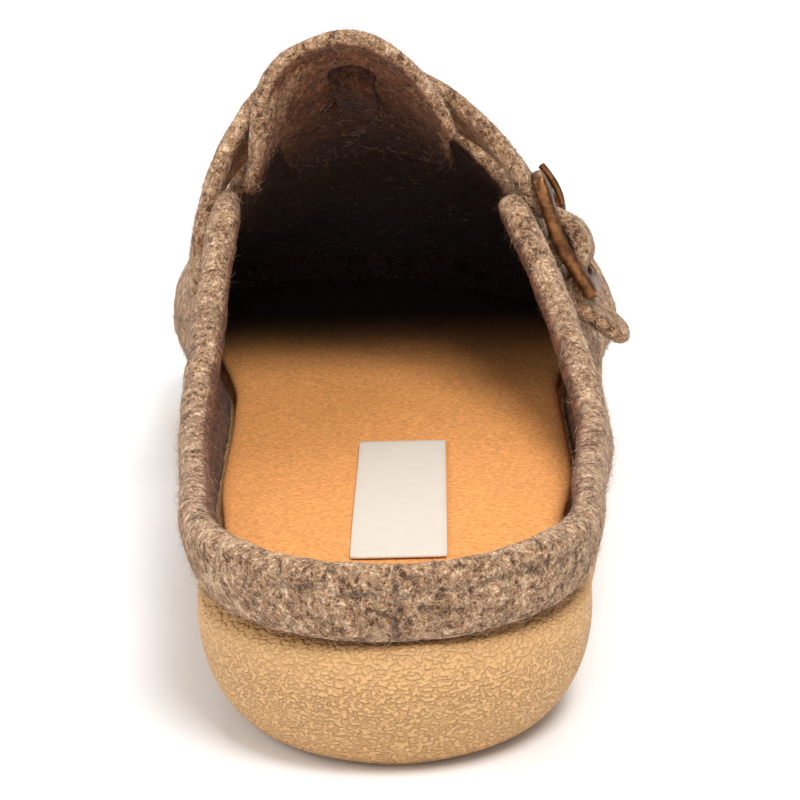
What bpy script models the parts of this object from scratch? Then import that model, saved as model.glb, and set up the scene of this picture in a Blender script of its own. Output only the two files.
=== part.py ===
"""Right wool felt clog slipper: a felt upper with a buckled instep strap on a moulded sole.

+X is the outer side, +Y the toe and +Z up. Sizes are in millimetres until the last
step, which scales every piece to metres and puts the origin on the floor under the
middle of the whole shoe."""

import math
from typing import NamedTuple

import bpy
import numpy as np
from mathutils import Matrix

MM = 0.001

# Driving sizes of the shoe
LENGTH = 270.8
BALL_WIDTH = 105.6
INSTEP_HEIGHT = 112.8
HEEL_HEIGHT = 26.8
HEEL_WIDTH = 79.0
HEEL_ROUND = 44.7
BALL_ALONG = 0.80
TOE_POWER = 2.24
TOE_ROUND = 22.0
RING_RISE = 10.0
CREST_SPREAD = 0.75  # how early the arch leans to the inner side: 1 with its rise, less sooner

# Driving sizes of the felt and the fits between pieces
WALL = 4.5
TONGUE_FELT = 3.0
STRAP_FELT = 3.2
TAB_FELT = 2.6
GAP = 0.3
RIM_ROUNDNESS = 0.8

# Driving sizes of the sole and the insole
INSOLE_THICKNESS = 5.6
TOE_SPRING = 6.5
ARCH_RISE = 2.6
LABEL_LENGTH = 85.0
LABEL_WIDTH = 18.2
LABEL_THICKNESS = 0.5

# Driving sizes of the buckle
FRAME_WIDTH = 25.4
FRAME_BAR = 3.4
FRAME_SIDE = 2.4
FRAME_THICKNESS = 1.9
PIN_DIAMETER = 2.0
PRONG_DIAMETER = 1.8
LOOP_WIDTH = 5.5
LOOP_FELT = 1.0

HEEL_BACK = -LENGTH / 2.0
TOE_TIP = LENGTH / 2.0
HEEL_Y = HEEL_BACK + HEEL_ROUND
BALL_Y = HEEL_BACK + BALL_ALONG * LENGTH
BALL_HALF = BALL_WIDTH / 2.0
HEEL_HALF = HEEL_WIDTH / 2.0
TOE_LENGTH = TOE_TIP - BALL_Y


class Section(NamedTuple):
    """Form of the last at a share of the length from the heel, as shares of the driving sizes."""

    along: float  # share of LENGTH
    half: float  # half width, share of BALL_HALF
    shift: float  # sideways middle of the outline, share of BALL_HALF
    joint: float  # top edge of the sole, share of HEEL_HEIGHT
    bulge: float  # felt past the sole's edge, share of WALL
    crown: float  # height of the arch, share of INSTEP_HEIGHT
    crest: float  # sideways shift of the crown, share of BALL_HALF
    steep: float  # power of the arch, 0.5 an ellipse and 1 a parabola


SECTIONS = (
    Section(0.00, 0.748, 0.038, 1.000, 0.58, 0.965, 0.000, 0.80),
    Section(0.165, 0.748, 0.038, 1.000, 0.58, 0.965, 0.000, 0.80),
    Section(0.36, 0.828, 0.070, 0.880, 0.66, 1.060, -0.080, 0.88),
    Section(0.50, 0.836, 0.084, 0.825, 0.74, 1.045, -0.138, 0.91),
    Section(0.61, 0.848, 0.090, 0.785, 0.80, 0.990, -0.178, 0.91),
    Section(0.67, 0.888, 0.096, 0.765, 0.85, 0.893, -0.152, 0.88),
    Section(0.73, 0.945, 0.102, 0.750, 0.88, 0.770, -0.105, 0.80),
    Section(0.80, 1.000, 0.104, 0.742, 0.88, 0.650, -0.045, 0.70),
    Section(0.872, 0.980, 0.050, 0.765, 0.95, 0.525, -0.020, 0.63),
    Section(0.955, 0.700, -0.110, 0.835, 1.02, 0.405, 0.000, 0.58),
    Section(1.00, 0.000, -0.215, 0.877, 1.07, 0.345, 0.000, 0.57),
)


def smooth(xs, ys):
    """A curve through the rows that never overshoots them, flat past both ends."""
    xs, ys = np.asarray(xs, float), np.asarray(ys, float)
    step = np.diff(xs)
    slope = np.diff(ys) / step
    tangent = np.empty_like(ys)
    tangent[0], tangent[-1] = slope[0], slope[-1]
    near = 2.0 * step[1:] + step[:-1]
    far = step[1:] + 2.0 * step[:-1]
    same = slope[:-1] * slope[1:] > 0.0
    first = np.where(same, slope[:-1], 1.0)
    second = np.where(same, slope[1:], 1.0)
    tangent[1:-1] = np.where(same, (near + far) / (near / first + far / second), 0.0)

    def curve(x):
        x = np.clip(np.asarray(x, float), xs[0], xs[-1])
        k = np.clip(np.searchsorted(xs, x, side="right") - 1, 0, len(xs) - 2)
        h = step[k]
        t = (x - xs[k]) / h
        low = (1.0 + 2.0 * t) * (1.0 - t) ** 2 * ys[k] + t * (1.0 - t) ** 2 * h * tangent[k]
        high = t * t * (3.0 - 2.0 * t) * ys[k + 1] + t * t * (t - 1.0) * h * tangent[k + 1]
        return low + high

    return curve


def column(rows, field, scale=1.0):
    """A smooth curve of one column of a table of sections, along Y in millimetres."""
    ys = [HEEL_BACK + row.along * LENGTH for row in rows]
    return smooth(ys, [getattr(row, field) * scale for row in rows])


side_rows = [row for row in SECTIONS if 0.16 < row.along < BALL_ALONG + 0.01]
guard = 12.0
side_half = smooth(
    [HEEL_Y - guard] + [HEEL_BACK + r.along * LENGTH for r in side_rows] + [BALL_Y + guard],
    [HEEL_HALF] + [r.half * BALL_HALF for r in side_rows] + [BALL_HALF - 0.2],
)
middle = column(SECTIONS, "shift", BALL_HALF)
joint = column(SECTIONS, "joint", HEEL_HEIGHT)
bulge = column(SECTIONS, "bulge", WALL)
crown = column(SECTIONS, "crown", INSTEP_HEIGHT)
crest = column(SECTIONS, "crest", BALL_HALF)
steep = column(SECTIONS, "steep")


def half_width(y):
    """Half width of the felt's outline at Y."""
    y = np.asarray(y, float)
    back = np.clip((HEEL_Y - y) / HEEL_ROUND, 0.0, 1.0)
    front = np.clip((y - BALL_Y) / TOE_LENGTH, 0.0, 1.0)
    half = side_half(np.clip(y, HEEL_Y, BALL_Y))
    half = np.where(y < HEEL_Y, HEEL_HALF * np.sqrt(1.0 - back**2), half)
    toe = BALL_HALF * (1.0 - front**TOE_POWER) ** (1.0 / TOE_POWER)
    return np.where(y > BALL_Y, toe, half)


def outline(side, turn):
    """Plan point of the felt's widest line: turn runs 0 heel, 1 heel's side, 2 ball, 3 toe."""
    turn = np.asarray(turn, float)
    angle = np.clip(turn, 0.0, 1.0) * math.pi / 2.0
    heel_y = HEEL_Y - HEEL_ROUND * np.cos(angle)
    side_y = HEEL_Y + (BALL_Y - HEEL_Y) * np.clip(turn - 1.0, 0.0, 1.0)
    toe = np.clip(turn - 2.0, 0.0, 1.0) * math.pi / 2.0
    reach = (np.cos(toe) ** TOE_POWER + np.sin(toe) ** TOE_POWER) ** (-1.0 / TOE_POWER)
    y = np.where(turn <= 1.0, heel_y, np.where(turn <= 2.0, side_y, BALL_Y + TOE_LENGTH * reach * np.sin(toe)))
    half = np.where(turn <= 1.0, HEEL_HALF * np.sin(angle), side_half(np.clip(y, HEEL_Y, BALL_Y)))
    half = np.where(turn > 2.0, BALL_HALF * reach * np.cos(toe), half)
    return np.stack([middle(y) + side * half, y], axis=-1)


def shifted(side, turn, distance):
    """The outline moved outward by a distance, in plan."""
    step = 1e-3
    ahead = outline(side, np.minimum(np.asarray(turn, float) + step, 3.0))
    behind = outline(side, np.maximum(np.asarray(turn, float) - step, 0.0))
    along = (ahead - behind) / np.linalg.norm(ahead - behind, axis=-1, keepdims=True)
    outward = side * np.stack([along[..., 1], -along[..., 0]], axis=-1)
    at_end = (np.asarray(turn) <= 0.0) | (np.asarray(turn) >= 3.0)
    straight = np.zeros_like(outward)
    straight[..., 1] = np.where(np.asarray(turn) > 1.5, 1.0, -1.0)
    outward = np.where(at_end[..., None], straight, outward)
    return outline(side, turn) + outward * np.asarray(distance)[..., None]


def turn_at(y):
    """Turn of the outline's side at Y, between the heel's side and the ball."""
    return 1.0 + (y - HEEL_Y) / (BALL_Y - HEEL_Y)


def ring(y):
    """Height of the felt's widest line."""
    return joint(y) + RING_RISE


def arch_height(y):
    """Height of the arch over the widest line, rounded off at the toe."""
    front = np.clip((np.asarray(y, float) - (TOE_TIP - TOE_ROUND)) / TOE_ROUND, 0.0, 1.0)
    return (crown(y) - ring(y)) * (1.0 - front**2.2) ** (1.0 / 2.2)


def over(y, across):
    """Point of the upper's outer form: across runs from -1 inner edge over the crown to +1."""
    y, across = np.broadcast_arrays(np.asarray(y, float), np.asarray(across, float))
    rise = np.maximum(1.0 - across**2, 0.0) ** steep(y)
    x = middle(y) + half_width(y) * across + crest(y) * rise**CREST_SPREAD
    return np.stack([x, y, ring(y) + arch_height(y) * rise], axis=-1)


def skin(y, turn, lift=0.0):
    """Point of the outer form lifted along its normal: turn is 0 outer side, 90 crown, 180 inner."""
    y, turn = np.broadcast_arrays(np.asarray(y, float), np.radians(np.asarray(turn, float)))
    around = over(y, np.cos(turn + 1e-3)) - over(y, np.cos(turn - 1e-3))
    along = over(y + 0.1, np.cos(turn)) - over(y - 0.1, np.cos(turn))
    normal = np.cross(along, around)
    normal /= np.linalg.norm(normal, axis=-1, keepdims=True)
    return over(y, np.cos(turn)) + normal * np.asarray(lift, float)[..., None]


class Felt:
    """A felt piece as outer points, inner points and the faces between them."""

    def __init__(self):
        self.outer, self.inner, self.faces, self.index = [], [], [], {}

    def point(self, outer, inner):
        key = tuple(int(round(value * 500.0)) for value in outer)
        if key not in self.index:
            self.index[key] = len(self.outer)
            self.outer.append(outer)
            self.inner.append(inner)
        return self.index[key]

    def grid(self, outer, inner, skip=(), flip=False):
        """Add the faces over two arrays of points, rows by columns."""
        rows, columns = outer.shape[:2]
        ids = [[self.point(outer[r, c], inner[r, c]) for c in range(columns)] for r in range(rows)]
        for r in range(rows - 1):
            for c in range(columns - 1):
                if (r, c) in skip:
                    continue
                corners = [ids[r][c], ids[r][c + 1], ids[r + 1][c + 1], ids[r + 1][c]]
                face = [v for k, v in enumerate(corners) if v != corners[k - 1]]
                if len(face) > 2:
                    self.faces.append(face[::-1] if flip else face)

    def normals(self):
        """Area-weighted normal of each outer point."""
        points = np.array(self.outer)
        total = np.zeros_like(points)
        for face in self.faces:
            corners = points[face]
            normal = np.zeros(3)
            for k in range(1, len(face) - 1):
                normal += np.cross(corners[k] - corners[0], corners[k + 1] - corners[0])
            total[face] += normal
        return total / np.linalg.norm(total, axis=1, keepdims=True)

    def solid(self, name, colour, flat=lambda loop: False):
        """Close the sheet with rounded rims, and flat ones where `flat` says so."""
        outer, inner = np.array(self.outer), np.array(self.inner)
        count = len(outer)
        points = list(outer) + list(inner)
        faces = [list(face) for face in self.faces]
        faces += [[v + count for v in face[::-1]] for face in self.faces]
        edges = {}
        for face in self.faces:
            for k, v in enumerate(face):
                edges[(v, face[(k + 1) % len(face)])] = True
        follow = {a: b for a, b in edges if (b, a) not in edges}
        while follow:
            loop = [next(iter(follow))]
            while loop[-1] in follow:
                loop.append(follow.pop(loop[-1]))
            loop.pop()
            chains = []
            for k, v in enumerate(loop):
                mean = (outer[v] + inner[v]) / 2.0
                half = (outer[v] - inner[v]) / 2.0
                along = outer[loop[(k + 1) % len(loop)]] - outer[loop[k - 1]]
                away = np.cross(along, half)
                away *= RIM_ROUNDNESS * np.linalg.norm(half) / np.linalg.norm(away)
                chain = [v]
                for angle in () if flat(outer[loop]) else (math.radians(55.0), math.radians(125.0)):
                    chain.append(len(points))
                    points.append(mean + half * math.cos(angle) + away * math.sin(angle))
                chains.append(chain + [v + count])
            for k, chain in enumerate(chains):
                ahead = chains[(k + 1) % len(chains)]
                for j in range(len(chain) - 1):
                    faces.append([chain[j + 1], ahead[j + 1], ahead[j], chain[j]])
        return make(name, points, faces, colour)


def short(loop):
    """True for the rim of a slit or a hole."""
    return len(loop) < 20


class Finish(NamedTuple):
    """Plain material of a piece."""

    red: float
    green: float
    blue: float
    roughness: float
    metallic: float = 0.0


FELT = Finish(0.38, 0.26, 0.18, 0.95)
FELT_STRAP = Finish(0.40, 0.28, 0.19, 0.95)
FELT_TONGUE = Finish(0.33, 0.23, 0.16, 0.95)
SOLE = Finish(0.66, 0.42, 0.19, 0.60)
SUEDE = Finish(0.78, 0.42, 0.15, 0.90)
WOVEN = Finish(0.84, 0.79, 0.70, 0.85)
BRONZE = Finish(0.30, 0.19, 0.09, 0.35, 1.0)

MADE = []


def make(name, points, faces, finish):
    """Create one named object with its own material."""
    mesh = bpy.data.meshes.new(name)
    mesh.from_pydata([tuple(float(v) for v in p) for p in points], [], faces)
    mesh.validate()
    mesh.update()
    obj = bpy.data.objects.new(name, mesh)
    bpy.context.scene.collection.objects.link(obj)
    material = bpy.data.materials.new(name + "_finish")
    material.use_nodes = True
    shader = material.node_tree.nodes["Principled BSDF"]
    shader.inputs["Base Color"].default_value = (finish.red, finish.green, finish.blue, 1.0)
    shader.inputs["Roughness"].default_value = finish.roughness
    shader.inputs["Metallic"].default_value = finish.metallic
    mesh.materials.append(material)
    MADE.append(obj)
    return obj


# Shares of a quarter turn at which an arch has its rows, from the widest line to the crown
ARCH_ROWS = (0.0, 0.07, 0.14, 0.21, 0.28, 0.34, 0.40, 0.47, 0.54, 0.62, 0.70, 0.775, 0.85, 0.925, 1.0)
NOTCH_ROW = 6
TAB_ROW = 11
LOWER_ROWS = (1.0, 0.6, 0.28)


class Side(NamedTuple):
    """Places of one side of the upper, in millimetres."""

    name: str
    sign: int
    notch_y: float
    corner_y: float
    corner_z: float


OUTER_SIDE = Side("outer", 1, 36.0, 26.5, 71.0)
INNER_SIDE = Side("inner", -1, 38.0, 29.0, 73.0)
TAB_BASE_Y = 58.6
SPINE_END_Y = 98.0


class CollarRow(NamedTuple):
    """Collar height over the widest line, as a share of the way from the heel to the corner."""

    along: float
    rise: float


COLLAR = (
    CollarRow(0.0, 0.0),
    CollarRow(0.20, 0.01),
    CollarRow(0.42, 0.10),
    CollarRow(0.62, 0.28),
    CollarRow(0.80, 0.58),
    CollarRow(0.93, 0.90),
    CollarRow(1.0, 1.0),
)
COLLAR_HEEL_Z = 39.6


def wall_column(side, turn, top_across, lower_only=False):
    """Points of the wall from the sole's edge up to a share of the arch, at one place."""
    edge = outline(side, turn)
    y = float(edge[1])
    points = []
    for depth in LOWER_ROWS:
        plan = shifted(side, turn, -float(bulge(y)) * depth**2)
        low = float(ring(y)) - (float(RING_RISE) - GAP) * depth
        points.append([plan[0], plan[1], low])
    centre_y = max(y, HEEL_Y)
    centre = np.array([float(middle(centre_y)), centre_y])
    steps = ARCH_ROWS[: NOTCH_ROW + 1]
    for step in steps:
        angle = top_across * step / steps[-1]
        rise = math.sin(angle) ** (2.0 * float(steep(centre_y)))
        plan = centre + (edge - centre) * math.cos(angle)
        x = plan[0] + float(crest(centre_y)) * rise**CREST_SPREAD
        z = float(ring(y)) + (float(crown(centre_y)) - float(ring(y))) * rise
        points.append([x, plan[1], z])
    return points


def collar_angle(side, y):
    """Turn of the arch at which the collar sits at Y."""
    place = OUTER_SIDE if side > 0 else INNER_SIDE
    along = min(max((y - HEEL_Y) / (place.corner_y - HEEL_Y), 0.0), 1.0)
    rise = float(smooth([r.along for r in COLLAR], [r.rise for r in COLLAR])(along))
    height = COLLAR_HEEL_Z + (place.corner_z - COLLAR_HEEL_Z) * rise
    centre_y = max(y, HEEL_Y)
    share = (height - float(ring(y))) / (float(crown(centre_y)) - float(ring(y)))
    angle = math.asin(share ** (0.5 / float(steep(centre_y))))
    notch = ARCH_ROWS[NOTCH_ROW] * math.pi / 2.0
    if y > place.corner_y:
        drop = (y - place.corner_y) / (place.notch_y - place.corner_y)
        angle += (notch - angle) * (drop * drop * (3.0 - 2.0 * drop))
    return angle


class ToplineRow(NamedTuple):
    """Vamp's top edge on each side: Y at a share of the quarter turn from the widest line to the crown."""

    step: float
    outer_y: float
    inner_y: float


TOPLINE = (
    ToplineRow(0.40, OUTER_SIDE.notch_y, INNER_SIDE.notch_y),
    ToplineRow(0.47, 47.0, 47.5),
    ToplineRow(0.54, 55.5, 52.0),
    ToplineRow(0.62, 59.8, 54.6),
    ToplineRow(0.70, 60.3, 55.8),
    ToplineRow(0.775, 60.2, 56.4),
    ToplineRow(1.0, TAB_BASE_Y, TAB_BASE_Y),
)
topline = {
    1: smooth([row.step for row in TOPLINE], [row.outer_y for row in TOPLINE]),
    -1: smooth([row.step for row in TOPLINE], [row.inner_y for row in TOPLINE]),
}


def blend(value, low, high):
    """Soft step from 0 at `low` to 1 at `high`."""
    share = min(max((value - low) / (high - low), 0.0), 1.0)
    return share * share * (3.0 - 2.0 * share)


def front_column(place, share):
    """Points of the vamp at one place, from the sole's edge up to the middle line."""
    side = place.sign
    start = float(turn_at(place.notch_y))
    turn = start + (3.0 - start) * share
    edge = outline(side, turn)
    points = wall_column(side, turn, 0.1)[: len(LOWER_ROWS)]
    spine = min(TAB_BASE_Y + (SPINE_END_Y - TAB_BASE_Y) * share / 0.6, SPINE_END_Y)
    centre = np.array([float(middle(spine)), spine])
    straight = 1.0 - blend(share, 0.0, 0.35)
    for step in ARCH_ROWS:
        if step == 0.0:
            points.append([edge[0], edge[1], float(ring(edge[1]))])
            continue
        out = math.cos(step * math.pi / 2.0) if step < 1.0 else 0.0
        fanned = edge[1] + (centre[1] - edge[1]) * (1.0 - out)
        rise = (edge[1] - place.notch_y) * out
        y = fanned * (1.0 - straight) + (float(topline[side](step)) + rise) * straight
        x = centre[0] + (edge[0] - centre[0]) * out
        across = min(max((x - float(middle(y))) / max(float(half_width(y)), 1e-6), -1.0), 1.0)
        across = across * (1.0 - straight) + side * out * straight
        points.append(list(over(y, across)))
    return points


class TabRow(NamedTuple):
    """Instep tab: middle and half width of a row, how far its outer end lies ahead, and its faces' heights."""

    y: float
    half: float
    ahead: float
    outer: float
    inner: float


TAB = (
    TabRow(57.3, 16.5, 1.9, 0.8, -1.3),
    TabRow(54.8, 16.0, 1.8, 1.5, -1.0),
    TabRow(51.8, 15.2, 1.7, 1.6, -1.0),
    TabRow(49.2, 14.0, 1.4, 1.6, -1.0),
    TabRow(46.9, 12.2, 0.8, 1.4, -1.1),
)


def crest_turn(y, x):
    """Turn of the arch at Y whose point lies x to the side of the crown."""
    across = x / float(half_width(y))
    for _ in range(8):
        rise = max(1.0 - across**2, 0.0) ** float(steep(y))
        across = (x + float(crest(y)) * (1.0 - rise**CREST_SPREAD)) / float(half_width(y))
        across = min(max(across, -0.98), 0.98)
    return math.degrees(math.acos(across))


HEEL_STEPS = 9
QUARTER_STEPS = 12
CORNER_STEPS = 3
VAMP_STEPS = 21


def wall_turns(place):
    """Turns of one side's columns from the heel to the notch."""
    corner, notch = float(turn_at(place.corner_y)), float(turn_at(place.notch_y))
    heel = np.linspace(0.0, 1.0, HEEL_STEPS + 1)
    quarter = np.linspace(1.0, corner, QUARTER_STEPS + 1)[1:]
    return np.concatenate([heel, quarter, np.linspace(corner, notch, CORNER_STEPS + 1)[1:]])


def all_turns(place):
    """Turns of one side's columns from the heel to the toe, which every piece round the outline shares."""
    front = np.linspace(turn_at(place.notch_y), 3.0, VAMP_STEPS + 1)[1:]
    return np.concatenate([wall_turns(place), front])


def build_upper():
    """Vamp, quarters and heel band as one felt wall, open at the collar, the notches and underneath."""
    felt = Felt()
    for place in (OUTER_SIDE, INNER_SIDE):
        rows = []
        for turn in wall_turns(place):
            y = float(outline(place.sign, turn)[1])
            rows.append(wall_column(place.sign, turn, collar_angle(place.sign, y)))
        grid = np.array(rows)
        felt.grid(grid, grid, flip=place.sign > 0)
        shares = np.linspace(0.0, 1.0, VAMP_STEPS + 1)
        grid = np.array([front_column(place, s) for s in shares])
        felt.grid(grid, grid, flip=place.sign > 0)
    wall_points = len(felt.outer)
    across = range(TAB_ROW, len(ARCH_ROWS))
    first_outer = [front_column(OUTER_SIDE, 0.0)[len(LOWER_ROWS) + k] for k in across]
    first_inner = [front_column(INNER_SIDE, 0.0)[len(LOWER_ROWS) + k] for k in across[:-1]]
    base = first_outer + first_inner[::-1]
    shares = [p[0] - base[len(first_outer) - 1][0] for p in base]
    widest = max(abs(s) for s in shares)
    rows_out, rows_in = [base], [base]
    for row in TAB:
        ys = [row.y + v / widest * row.ahead for v in shares]
        turns = [crest_turn(y, v / widest * row.half) for y, v in zip(ys, shares)]
        rows_out.append(skin(ys, turns, np.full(len(turns), row.outer)))
        rows_in.append(skin(ys, turns, np.full(len(turns), row.inner)))
    fold_out, fold_in = tab_fold(shares, widest)
    felt.grid(np.array(rows_out + fold_out), np.array(rows_in + fold_in))
    normals = felt.normals()
    for k, outer in enumerate(felt.outer):
        if k >= wall_points:
            continue
        outer = np.array(outer)
        low = float(joint(outer[1])) + RING_RISE - outer[2]
        if low > -0.01:
            flat_normal = normals[k] * np.array([1.0, 1.0, 0.0])
            felt.inner[k] = outer - WALL * flat_normal / np.linalg.norm(flat_normal)
        else:
            felt.inner[k] = outer - WALL * normals[k]
    return felt.solid("upper", FELT, flat=lambda loop: loop[:, 2].max() < HEEL_HEIGHT + 4.0)


class FoldRow(NamedTuple):
    """Middle of the tab's felt, along the foot and over the outer form, where it dips and turns back."""

    y: float
    lift: float


TAB_END_HALF = 6.2
FOLD = (
    FoldRow(46.4, 0.2),
    FoldRow(44.7, -0.7),
    FoldRow(43.6, -2.6),
    FoldRow(43.3, -5.0),
    FoldRow(43.3, -7.6),
    FoldRow(43.8, -9.2),
    FoldRow(45.4, -10.2),
    FoldRow(49.0, -10.4),
    FoldRow(54.5, -10.4),
)


def tab_fold(shares, widest):
    """Rows of the tab where it dips through the tongue's slit and lies inside the tongue."""
    out, inn = [], []
    rows = [FoldRow(TAB[-1].y, (TAB[-1].outer + TAB[-1].inner) / 2.0), *FOLD]
    for k in range(1, len(rows)):
        ahead = rows[min(k + 1, len(rows) - 1)]
        step = np.array([ahead.y - rows[k - 1].y, ahead.lift - rows[k - 1].lift])
        across = np.array([step[1], -step[0]]) / np.hypot(*step) * TAB_FELT / 2.0
        half = TAB[-1].half + (TAB_END_HALF - TAB[-1].half) * min(k / 4.0, 1.0)
        for sign, faces in ((1.0, out), (-1.0, inn)):
            y, lift = rows[k].y + sign * across[0], rows[k].lift + sign * across[1]
            turns = [crest_turn(y, v / widest * half) for v in shares]
            faces.append(skin(y, turns, np.full(len(turns), lift)))
    return out, inn


class TongueRow(NamedTuple):
    """Tongue's half width about the crown, the bow of the row and the height of its outer face."""

    y: float
    half: float
    bow: float
    lift: float


SLIT_Y = 43.0
SLIT_LONG = 2.1
UNDER = -(WALL + GAP)
TONGUE = (
    TongueRow(26.0, 25.4, 2.4, UNDER - 0.1),
    TongueRow(27.0, 27.2, 2.5, UNDER),
    TongueRow(28.6, 28.0, 2.4, UNDER + 0.1),
    TongueRow(30.4, 27.8, 2.0, UNDER + 0.1),
    TongueRow(33.0, 26.6, 1.2, UNDER + 0.2),
    TongueRow(36.8, 25.0, 0.4, UNDER + 0.1),
    TongueRow(SLIT_Y - SLIT_LONG, 23.4, 0.0, UNDER),
    TongueRow(SLIT_Y + SLIT_LONG, 22.4, 0.0, UNDER),
    TongueRow(49.0, 22.0, 0.0, UNDER),
    TongueRow(53.2, 21.6, 0.0, UNDER - 0.05),
    TongueRow(57.8, 21.3, 0.0, UNDER - 0.08),
    TongueRow(63.5, 20.9, 0.0, UNDER - 0.1),
    TongueRow(74.0, 20.0, 0.0, UNDER),
)
FLARE_LONG = 4.6


class FlareRow(NamedTuple):
    """How far the tongue's free end stands off the arch, by turn, and the Y behind which it may."""

    turn: float
    rise: float
    free_y: float


FLARE = (
    FlareRow(40.0, 0.0, 26.0),
    FlareRow(51.5, 0.0, 29.4),
    FlareRow(60.0, 1.7, 33.6),
    FlareRow(66.0, 2.1, 36.0),
    FlareRow(77.0, 1.3, 36.0),
    FlareRow(88.0, 0.2, 36.0),
    FlareRow(101.0, 1.2, 36.0),
    FlareRow(108.0, 3.9, 36.0),
    FlareRow(113.0, 5.2, 34.6),
    FlareRow(117.0, 5.5, 32.0),
    FlareRow(122.0, 5.0, 30.4),
    FlareRow(126.0, 3.6, 29.2),
    FlareRow(131.0, 1.0, 28.2),
    FlareRow(140.0, 0.0, 27.0),
)


def flare(ys, turns):
    """Height of the tongue's free end over the arch, where it rolls out behind the strap's rear edge."""
    known = [row.turn for row in FLARE]
    rise = np.interp(turns, known, [row.rise for row in FLARE])
    free = np.interp(turns, known, [row.free_y for row in FLARE])
    share = np.clip((free - ys) / FLARE_LONG, 0.0, 1.0)
    return rise * share * share * (3.0 - 2.0 * share)


SLIT_ROW = 6
SLIT_STEPS = 3


def build_tongue():
    """Tongue with a rounded top, under the vamp and the strap, with the tab's slit."""
    felt = Felt()
    slit = TAB_END_HALF + RIM_ROUNDNESS * TAB_FELT / 2.0 + 3.0 * GAP
    outer_points, inner_points = [], []
    for row in TONGUE:
        inner = np.linspace(0.0, slit, SLIT_STEPS + 1)
        outer = np.linspace(slit, row.half, SLIT_STEPS + 2)[1:]
        xs = np.concatenate([-outer[::-1], -inner[::-1], inner[1:], outer])
        ys = row.y + row.bow * (0.25 * (xs / row.half) ** 2 + 0.75 * np.abs(xs / row.half) ** 7)
        turns = np.array([crest_turn(y, x) for y, x in zip(ys, xs)])
        fuller = flare(ys, turns)
        outer_points.append(skin(ys, turns, row.lift + fuller))
        inner_points.append(skin(ys, turns, row.lift + fuller - TONGUE_FELT))
    low = SLIT_STEPS + 1
    skip = {(SLIT_ROW, c) for c in range(low, low + 2 * SLIT_STEPS)}
    felt.grid(np.array(outer_points), np.array(inner_points), skip=skip)
    return felt.solid("tongue", FELT_TONGUE, flat=short)


class StrapRow(NamedTuple):
    """Rear and front edge of the strap, each at Y and turn round the arch, and the lift of its inner face."""

    rear_y: float
    rear_turn: float
    front_y: float
    front_turn: float
    lift: float
    felt: float  # share of STRAP_FELT


STRAP = (
    StrapRow(29.5, 154.0, 42.0, 153.0, 0.30, 0.40),
    StrapRow(29.0, 149.0, 43.0, 148.0, 0.30, 0.75),
    StrapRow(28.5, 142.0, 44.0, 142.0, 0.30, 1.0),
    StrapRow(28.5, 134.5, 45.5, 136.0, 0.35, 1.0),
    StrapRow(29.8, 126.0, 48.3, 129.0, -1.0, 1.0),
    StrapRow(32.8, 117.0, 52.2, 121.5, -3.1, 1.0),
    StrapRow(39.5, 110.0, 53.4, 114.0, -4.4, 1.0),
    StrapRow(46.4, 104.0, 53.6, 105.0, -4.5, 1.0),
    StrapRow(48.0, 95.0, 53.8, 96.0, -4.5, 1.0),
    StrapRow(48.0, 85.0, 54.6, 86.0, -4.5, 1.0),
    StrapRow(46.6, 76.0, 55.4, 77.0, -4.5, 1.0),
    StrapRow(39.8, 68.5, 55.0, 68.0, -4.3, 1.0),
    StrapRow(34.5, 60.0, 52.0, 59.0, -2.6, 1.0),
    StrapRow(30.0, 51.5, 48.0, 50.5, -0.1, 1.0),
    StrapRow(27.6, 45.6, 44.8, 44.6, 0.75, 1.0),
    StrapRow(26.9, 42.6, 44.0, 41.6, 0.75, 1.0),
    StrapRow(26.4, 40.2, 43.4, 39.2, 0.75, 1.0),
    StrapRow(26.0, 38.4, 43.0, 37.4, 2.4, 1.0),
    StrapRow(25.4, 35.6, 42.5, 34.6, 5.6, 1.0),
    StrapRow(24.9, 32.6, 41.9, 31.6, 6.3, 1.0),
    StrapRow(24.4, 29.8, 41.3, 28.8, 5.5, 1.0),
    StrapRow(24.1, 27.2, 40.5, 26.2, 1.9, 1.0),
    StrapRow(23.8, 25.6, 40.0, 24.6, 0.7, 1.0),
    StrapRow(23.2, 23.4, 39.4, 22.4, 0.7, 1.0),
    StrapRow(22.0, 21.2, 38.8, 20.4, 0.9, 1.0),
    StrapRow(21.0, 19.2, 37.8, 18.4, 2.2, 1.0),
    StrapRow(19.6, 17.0, 36.4, 16.4, 3.9, 1.0),
    StrapRow(19.0, 15.0, 34.4, 14.6, 5.2, 1.0),
    StrapRow(20.0, 13.0, 31.2, 12.8, 6.2, 1.0),
    StrapRow(22.6, 11.8, 27.8, 11.8, 6.7, 0.9),
)
STRAP_COLUMNS = 5
HOLE_ROWS = (34, 35)
HOLE_COLUMN = 2


def build_strap():
    """One band from the inner quarter over the tongue to the buckle and its free end."""
    felt = Felt()
    shares = np.linspace(0.0, 1.0, STRAP_COLUMNS + 1)
    places = np.arange(len(STRAP), dtype=float)
    fine = np.linspace(0.0, len(STRAP) - 1.0, 2 * len(STRAP) - 1)
    columns = {name: smooth(places, [getattr(row, name) for row in STRAP])(fine) for name in StrapRow._fields}
    rear = np.stack([columns["rear_y"], columns["rear_turn"]], axis=-1)
    front = np.stack([columns["front_y"], columns["front_turn"]], axis=-1)
    plan = rear[:, None] + (front - rear)[:, None] * shares[None, :, None]
    inner = skin(plan[..., 0], plan[..., 1], np.repeat(columns["lift"][:, None], len(shares), axis=1))
    thick = np.repeat((columns["lift"] + STRAP_FELT * columns["felt"])[:, None], len(shares), axis=1)
    outer = skin(plan[..., 0], plan[..., 1], thick)
    felt.grid(outer, inner, skip={(row, HOLE_COLUMN) for row in HOLE_ROWS}, flip=True)
    return felt.solid("instep_strap", FELT_STRAP, flat=short)


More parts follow.
